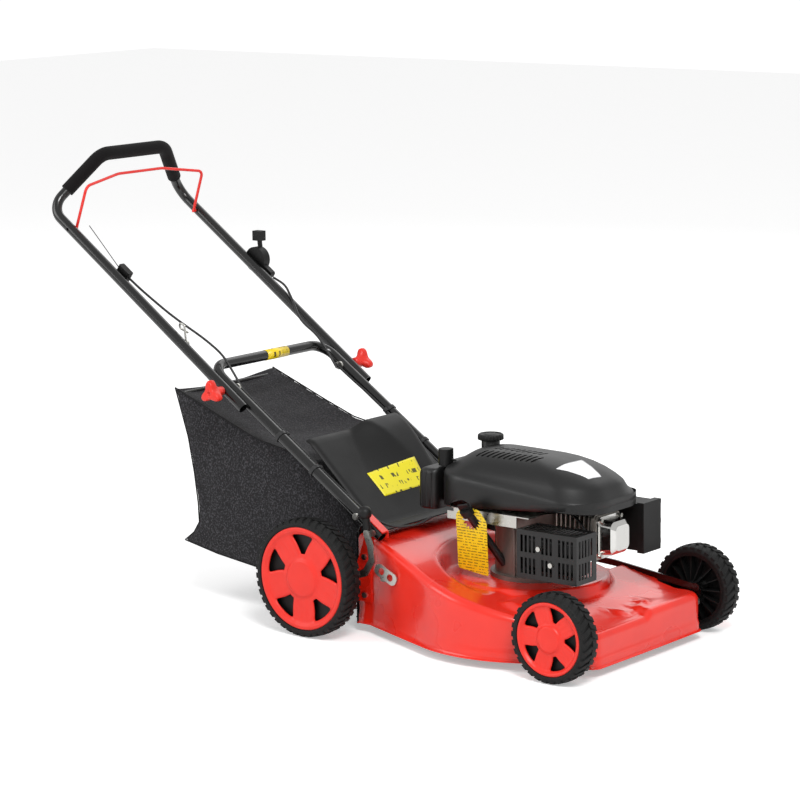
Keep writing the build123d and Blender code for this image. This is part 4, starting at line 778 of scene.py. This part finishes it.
bag_side = [(-0.330, 0.132), (-0.330, 0.211), (-0.390, 0.277), (-0.452, 0.343), (-0.520, 0.357),
            (-0.600, 0.371), (-0.680, 0.400), (-0.760, 0.431), (-0.830, 0.458), (-0.819, 0.425),
            (-0.796, 0.355), (-0.781, 0.280), (-0.772, 0.215), (-0.770, 0.172), (-0.786, 0.148),
            (-0.812, 0.128), (-0.720, 0.110), (-0.611, 0.096), (-0.520, 0.089), (-0.430, 0.087),
            (-0.380, 0.126)]
bag_runs = list(zip(bag_side, bag_side[1:] + bag_side[:1]))
bag_half = 0.161
bag_mesh = bmesh.new()
ring = [bag_mesh.verts.new((x, -bag_half, z)) for x, z in bag_side]
side_face = bag_mesh.faces.new(ring)
grown = bmesh.ops.extrude_face_region(bag_mesh, geom=[side_face])["geom"]
far_verts = [g for g in grown if isinstance(g, bmesh.types.BMVert)]
bmesh.ops.translate(bag_mesh, vec=(0, 2 * bag_half, 0), verts=far_verts)
settle(bag_mesh)
panel = 0.0125
for axis, first, count in ((0, -0.826, 40), (1, -0.150, 25), (2, 0.096, 29)):
    for index in range(count):
        spot, turn = Vector((0, 0, 0)), Vector((0, 0, 0))
        spot[axis], turn[axis] = first + panel * index, 1
        bmesh.ops.bisect_plane(bag_mesh, geom=everything(bag_mesh),
                               dist=1e-5, plane_co=spot, plane_no=turn)
bmesh.ops.remove_doubles(bag_mesh, verts=bag_mesh.verts, dist=0.0015)
bag = finish_piece("sewn_mesh_bag", bag_mesh, bag_mesh_cloth, "grass_bag", ["grass_bag"], "bag_fabric")


def near_frame(co):
    """How firmly the wire frame and the seams hold the cloth at a point, from 0 to 1."""
    at_side = ease(abs(co.y), bag_half - 0.014, bag_half - 0.002)
    outline = min(segment_gap(co.x, co.z, a, b) for a, b in bag_runs)
    at_mouth = 1 - ease(abs(co.x - bag_side[0][0]), 0.004, 0.02)
    return max((1 - ease(outline, 0.003, 0.014)) * at_side, at_mouth)


def segment_gap(x, z, a, b):
    """Distance from a point to a straight run, both in side view."""
    run = Vector((b[0] - a[0], b[1] - a[1]))
    share = max(0.0, min(1.0, (Vector((x - a[0], z - a[1])).dot(run)) / run.length_squared))
    return (Vector((x, z)) - Vector(a) - run * share).length


def blow_out(piece, held, swell, cap, gravity, frames=18):
    """Runs cloth on a piece: pressure from inside, held where the frame holds it, capped movement."""
    rest = [v.co.copy() for v in piece.data.vertices]
    group = piece.vertex_groups.new(name="held")
    for v in piece.data.vertices:
        group.add([v.index], held(v.co), "REPLACE")
    cloth = piece.modifiers.new("cloth", "CLOTH")
    for key, value in (("quality", 6), ("mass", 0.25), ("tension_stiffness", 12),
                       ("compression_stiffness", 12), ("bending_stiffness", 0.6), ("use_pressure", True),
                       ("uniform_pressure_force", swell), ("vertex_group_mass", "held")):
        setattr(cloth.settings, key, value)
    cloth.settings.effector_weights.gravity = gravity
    cloth.collision_settings.use_collision = False
    for number in range(1, frames + 1):
        bpy.context.scene.frame_set(number)
    apply_modifiers(piece)
    bpy.context.scene.frame_set(1)
    for v, old in zip(piece.data.vertices, rest):
        step = v.co - old
        if step.length > cap:
            v.co = old + step * (cap / step.length)
    piece.vertex_groups.clear()


blow_out(bag, near_frame, 1.2, 0.009, 0.8)
bag_data = bmesh.new()
bag_data.from_mesh(bag.data)
for v in bag_data.verts:
    slack = 1 - near_frame(v.co)
    wrinkle = noise.noise(Vector((v.co.x * 14, v.co.y * 9, v.co.z * 22))) * 0.0035
    wrinkle += noise.noise(Vector((v.co.x * 38 + 3, v.co.y * 17, v.co.z * 12))) * 0.0012
    v.co += v.normal * wrinkle * slack
    v.co.y = max(-0.1645, min(0.1645, v.co.y))
    v.co.x = min(v.co.x, -0.3278)
open_faces(bag_data, (-0.334, 0.0), 0.15, (0.137, 0.207))
bag_data.to_mesh(bag.data)
bag_data.free()
for face in bag.data.polygons:
    face.use_smooth = True
walled(bag, "cloth_thickness", 0.0012)
soft = bag.modifiers.new("soft", "SUBSURF")
soft.levels = soft.render_levels = 1

# Bound seams: folded tape stitched over the panels' joins.
# Polyester binding tape: tighter and a little shinier than the mesh.
binding_tape = make_finish("polyester_binding_tape", "#1A1A1B", 0.75, Sheen_Weight=0.05,
                           Specular_IOR_Level=0.2, relief=(0.002, 2.0, 0.0004, 0.7))


def curve_mesh(curve):
    """Mesh of a curve, which is then removed."""
    holder = add_object("curve", curve)
    data = bpy.data.meshes.new_from_object(holder.evaluated_get(bpy.context.evaluated_depsgraph_get()))
    bpy.data.objects.remove(holder)
    return data


def seam_piece(name, points, radius):
    """Closed round piping along a smooth line through control points."""
    line = bpy.data.curves.new(name, "CURVE")
    line.dimensions = "3D"
    line.bevel_depth, line.bevel_resolution, line.resolution_u = radius, 4, 12
    run = line.splines.new("NURBS")
    run.points.add(len(points) - 1)
    for point, co in zip(run.points, points):
        point.co = (*co, 1.0)
    run.use_cyclic_u = True
    run.order_u = 3
    finish_piece(name, curve_mesh(line), binding_tape, "grass_bag", slot="bag_fabric")


for side in (-1, 1):
    points = [(a[0] + (b[0] - a[0]) * share, side * (bag_half - 0.0008), a[1] + (b[1] - a[1]) * share)
              for a, b in bag_runs for share in (0.0, 0.04, 0.5, 0.96)]
    seam_piece("bag_seam_" + ("left" if side > 0 else "right"), points, 0.0015)

# ---------------------------------------------------------------- handle, grip, bail and cables
# 22 mm steel tube, bent cold and powder coated; foam sleeve slid over the top loop; sprung red bail.
# Powder coat: black, semi-gloss, with a fine orange peel.
black_powder = make_finish("black_powder_coat", "#080808", 0.24, IOR=1.5, Coat_Weight=0.35,
                           Coat_Roughness=0.12, relief=(0.0025, 2.0, 0.00008, 0.5))
# Closed-cell foam: matt, charcoal, with open pores at its cut skin drawn at 1.5 mm.
foam_skin = make_finish("closed_cell_foam", "#100E0F", 0.85, IOR=1.4, Sheen_Weight=0.05,
                        Specular_IOR_Level=0.25, relief=(0.0015, None, 0.0003, 0.6))
# Powder coat in red over spring wire.
red_powder = make_finish("red_powder_coat", "#E4241A", 0.32, IOR=1.5, Coat_Weight=0.3,
                         relief=(0.002, 1.0, 0.00006, 0.5))
# Soft PVC sheath over the cables: smooth, with scuffs that vary its shine.
cable_pvc = make_finish("black_pvc_sheath", "#161617", 0.42, IOR=1.53, gloss=(0.02, 3.0, 0.35, 0.55))
# Cast aluminium, as cast: grey with a fine sand texture.
cast_alloy = make_finish("sand_cast_aluminium", "#A39E97", 0.48, 0.85, relief=(0.0016, 3.0, 0.0003, 0.6))
# The crankcase is painted a warm grey-brown over the casting.
painted_case = make_finish("grey_brown_engine_enamel", "#6E625C", 0.42, 0.25,
                           relief=(0.002, 3.0, 0.0003, 0.5))
# Bright buffed aluminium on the rocker cover.
bright_alloy = make_finish("buffed_aluminium", "#DAD9D6", 0.16, 1.0, gloss=(0.012, 4.0, 0.1, 0.28))
# Heat-proof black paint on the muffler and its guard: glossy where it is new.
stove_black = make_finish("stove_black_enamel", "#0D0C0C", 0.3, IOR=1.5, gloss=(0.01, 3.0, 0.24, 0.42))

coat(black_powder, "lower_handle", "upper_handle", "rear_axle", "front_axle", "height_link", "bag_frame")
coat(foam_skin, "foam_grip")
coat(red_powder, "bail")
coat(cable_pvc, "upper_cables", "lower_cables", "cable_clips")
coat(black_moulding, "bail_cable_bracket", "throttle_housing", "throttle_lever", "air_filter_box",
     "lever_grip", "starter_grip", "dipstick", "recoil_pulley", "spark_plug")
coat(tyre_rubber, "rear_flap")
coat(zinc, "clamp_bolts", "deck_bolts", "engine_bolts", "height_lever", "height_quadrant", "rope_guide",
     "door_rod", "door_spring", "blower_plate", "axle_bearings", "crankshaft")
coat(stove_black, "muffler", "muffler_guard", "oil_filler_tube", "blade", "blade_boss")
coat(painted_case, "crankcase")
coat(cast_alloy, "cylinder", "flywheel", "carburettor")
coat(bright_alloy, "rocker_cover")

# ---------------------------------------------------------------- brackets, knobs and door
# Red pressed brackets bolt the handle to the deck. Three-lobed red knobs clamp the fold. The black
# moulded door is one sheet with a raised hump, hinged on a rod and sprung shut.
brackets = bmesh.new()
brackets.from_mesh(nodes["handle_brackets"].data)
bmesh.ops.remove_doubles(brackets, verts=brackets.verts, dist=1e-5)
bmesh.ops.bisect_plane(brackets, geom=everything(brackets), plane_co=(-0.3205, 0, 0.165),
                       plane_no=(-0.94, 0, 0.35), clear_outer=True, dist=1e-6)
fill_ends(brackets)
finish_piece("pressed_brackets", brackets, red_enamel, "deck", ["handle_brackets"], "red_enamel",
             smooth=False)

knob_turns = ring_turns(96)
for hand, side in (("left", 1), ("right", -1)):
    def knob_spot(size, lobe, y, side=side):
        """Ring spot of a three-lobed knob at one distance from the middle."""
        def spot(i):
            turn = knob_turns[i]
            wave = 0.5 + 0.5 * math.cos(3 * (turn - math.radians(95)))
            r = size + lobe * wave ** 1.5
            return Vector((-0.646 + r * math.cos(turn), side * y, 0.478 + r * math.sin(turn)))
        return spot
    knob_rows = [(0.0042, 0, 0.2180), (0.0095, 0, 0.2180), (0.0098, 0, 0.2300), (0.0105, 0.004, 0.2370),
                 (0.0120, 0.0120, 0.2420), (0.0130, 0.0135, 0.2440), (0.0132, 0.0138, 0.2500),
                 (0.0130, 0.0134, 0.2555), (0.0122, 0.0124, 0.2580), (0.0108, 0.0100, 0.2592),
                 (0.0060, 0.0020, 0.2594), (0.0040, 0, 0.2590), (0.0038, 0, 0.2560), (0.0010, 0, 0.2558)]
    knob_mesh = stack_rings([knob_spot(*row) for row in knob_rows], 96)
    ends = [e for e in knob_mesh.edges if e.is_boundary and abs(e.verts[0].co.y) > 0.25]
    bmesh.ops.contextual_create(knob_mesh, geom=ends)
    settle(knob_mesh)
    finish_piece(hand + "_lobed_knob", knob_mesh, red_moulding, hand + "_knob", [hand + "_knob"],
                 "red_plastic")

pivot = Vector((-0.292, 0, 0.218))
slope = math.radians(43)
door_steps, door_rows = 44, 26
door_length = 0.242
door_mesh = bmesh.new()
bmesh.ops.create_grid(door_mesh, x_segments=door_steps, y_segments=door_rows, size=0.5)
for v in door_mesh.verts:
    y = v.co.x * 0.316
    reach = -0.030 + (v.co.y + 0.5) * (door_length + 0.030)
    up = max(0.0, reach / door_length)
    foot, ridge = -0.020 - 0.104 * (1 - up), 0.012 + 0.121 * (1 - up)
    hump = min(1.0, max(0.0, (y - foot) / (ridge - foot)), 1 - ease(y, 0.116, 0.142))
    lift = 0.0075 + 0.028 * hump * ease(up, 0.0, 0.85) * (1 - 0.2 * ease(up, 0.85, 1.0))
    lift -= 0.005 * ease(abs(y), 0.149, 0.158) + 0.004 * ease(reach, 0.232, 0.242)
    if reach < 0:
        x, z = pivot.x - reach, pivot.z + 0.0085 + reach * 0.22
    else:
        x = pivot.x - reach * math.cos(slope) + lift * math.sin(slope)
        z = pivot.z + reach * math.sin(slope) + lift * math.cos(slope)
    v.co = Vector((x, y, z))
face_towards(door_mesh, (0, 0, 1))
door_tree = BVHTree.FromBMesh(door_mesh)
barrel = spun([(0.0031, -0.1495), (0.0062, -0.1495), (0.0062, 0.1495), (0.0031, 0.1495)], 24)
moved(barrel, pivot)
door = finish_piece("moulded_rear_door", door_mesh, black_moulding, "rear_door", ["rear_door"],
                    "black_plastic")
walled(door, "wall", 0.003)
edge = door.modifiers.new("edge", "BEVEL")
edge.width, edge.segments, edge.limit_method, edge.angle_limit = 0.0008, 2, "ANGLE", math.radians(40)
finish_piece("door_barrel", barrel, black_moulding, "rear_door", slot="black_plastic")

# ---------------------------------------------------------------- labels and tag
# Printed parts: a vinyl sticker on the door and on the crossbar, a laminated hang tag with a
# star-cut hole that grips the dipstick tube, and a white domed badge. They carry no words.


def printed(name, paper, ink, row_m, word_m, axis_x, axis_y, fill, bare):
    """Paper with rows of short dark dashes that stand for small print."""
    finish = make_finish(name, paper, 0.38, Coat_Weight=0.3, Coat_Roughness=0.1)
    tree, shader, where = opened(finish)
    split = add_node(tree, "ShaderNodeSeparateXYZ", {"Vector": where})
    along, down = split.outputs[axis_x], split.outputs[axis_y]
    flat = add_node(tree, "ShaderNodeCombineXYZ", {"X": along, "Y": down})
    in_row = maths(tree, "LESS_THAN", maths(tree, "FRACT", maths(tree, "DIVIDE", down, row_m)), fill)
    stretch = add_node(tree, "ShaderNodeMapping", {"Vector": flat.outputs[0],
                                                   "Scale": (1 / word_m, 0.5 / row_m, 1)})
    words = add_node(tree, "ShaderNodeTexNoise", {"Vector": stretch.outputs[0], "Scale": 1.0, "Detail": 1.0})
    both = maths(tree, "MULTIPLY", maths(tree, "GREATER_THAN", words.outputs["Fac"], bare), in_row)
    mix = add_node(tree, "ShaderNodeMix", {0: both}, data_type="RGBA")
    mix.inputs[6].default_value, mix.inputs[7].default_value = linear(paper), linear(ink)
    tree.links.new(mix.outputs[2], shader.inputs["Base Color"])
    return finish


tag_print = printed("laminated_yellow_card", "#F4DA1E", "#8A7A1E", 0.0062, 0.005, "X", "Z", 0.34, 0.47)
door_print = printed("yellow_vinyl_sticker", "#EEE010", "#55520E", 0.0155, 0.0075, "Y", "Z", 0.5, 0.58)
bar_print = printed("yellow_bar_sticker", "#F2D21A", "#5A4E10", 0.012, 0.008, "Y", "X", 0.35, 0.56)
white_badge = make_finish("white_domed_resin", "#F1F1F3", 0.18, Coat_Weight=0.5,
                          relief=(0.02, 2.0, 0.0002, 1.0))


def flat_shape(loops, thick):
    """Flat sheet in the XY plane about the origin; every loop after the first is a hole."""
    shape = bpy.data.curves.new("shape", "CURVE")
    shape.dimensions, shape.fill_mode, shape.extrude = "2D", "BOTH", thick / 2
    for loop in loops:
        run = shape.splines.new("POLY")
        run.points.add(len(loop) - 1)
        for point, co in zip(run.points, loop):
            point.co = (*co, 0, 1)
        run.use_cyclic_u = True
    mesh = bmesh.new()
    mesh.from_mesh(curve_mesh(shape))
    bmesh.ops.remove_doubles(mesh, verts=mesh.verts, dist=1e-6)
    settle(mesh)
    return mesh


def rounded_outline(corners, radius, steps=5):
    """Closed outline through corners, each rounded."""
    points = []
    count = len(corners)
    for i, corner in enumerate(corners):
        here = Vector(corner)
        before, after = Vector(corners[i - 1]), Vector(corners[(i + 1) % count])
        a = here + (before - here).normalized() * radius
        b = here + (after - here).normalized() * radius
        for k in range(steps + 1):
            t = k / steps
            points.append(tuple(a * (1 - t) ** 2 + here * 2 * t * (1 - t) + b * t ** 2))
    return points


# Hang tag: a leaning card, its star-cut slits radiate from a half-round hole.
tag_corners = [(-0.0375, -0.073), (0.0375, -0.073), (0.0375, 0.050), (0.020, 0.073), (-0.020, 0.073),
               (-0.0375, 0.050)]
star = []
for index in range(32):
    turn = 2 * math.pi * index / 32
    reach = 0.0165 if index % 2 == 0 or 0.3 < turn < math.pi - 0.3 else 0.0245
    star.append((reach * math.cos(turn), 0.046 + reach * math.sin(turn)))
tag_mesh = flat_shape([rounded_outline(tag_corners, 0.006), star], 0.0008)
turned(tag_mesh, math.radians(90), "X")
turned(tag_mesh, math.radians(8), "Y")
turned(tag_mesh, math.radians(14), "X")
low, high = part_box("hang_tag")
tag_middle = (Vector(low) + Vector(high)) / 2
moved(tag_mesh, tag_middle + Vector((0.009, -0.003, 0.001)))
tag = finish_piece("star_cut_hang_tag", tag_mesh, tag_print, "deck", ["hang_tag"], "tag_card", smooth=False)


def laid_on(tree_of, corners, lift, toward):
    """Thin sheet that follows a surface: a grid between four corners, dropped along a direction."""
    mesh = bmesh.new()
    bmesh.ops.create_grid(mesh, x_segments=14, y_segments=14, size=0.5)
    a, b, c, d, toward = (Vector(p) for p in (*corners, toward))
    for v in mesh.verts:
        u, w = v.co.x + 0.5, v.co.y + 0.5
        spot = a * (1 - u) * (1 - w) + b * u * (1 - w) + c * u * w + d * (1 - u) * w
        hit = tree_of.ray_cast(spot - toward * 0.08, toward, 0.3)
        v.co = hit[0] - toward * lift if hit[0] else spot
    face_towards(mesh, -toward)
    return mesh


sticker_mesh = laid_on(door_tree, [(-0.376, -0.072, 0.312), (-0.376, 0.072, 0.312), (-0.334, 0.072, 0.264),
                                   (-0.334, -0.072, 0.264)], 0.0006, (-0.68, 0, -0.73))
sticker = finish_piece("door_sticker", sticker_mesh, door_print, "rear_door", slot="tag_card")
walled(sticker, "film", 0.0004)

badge_mesh = laid_on(cover_tree, [(0.094, -0.060, 0.40), (0.156, -0.036, 0.40), (0.160, 0.002, 0.40),
                                  (0.099, 0.022, 0.40)], 0.0008, (0, 0, -1))
badge = finish_piece("domed_badge", badge_mesh, white_badge, "deck", slot="tag_card")
walled(badge, "dome", 0.0010)

crossbar_z = 0.5188
band = spun([(0.01105, -0.035), (0.0115, -0.035), (0.0115, 0.035), (0.01105, 0.035)], 48)
moved(band, (-0.706, 0.025, crossbar_z))
finish_piece("crossbar_sticker", band, bar_print, "deck", slot="tag_card")
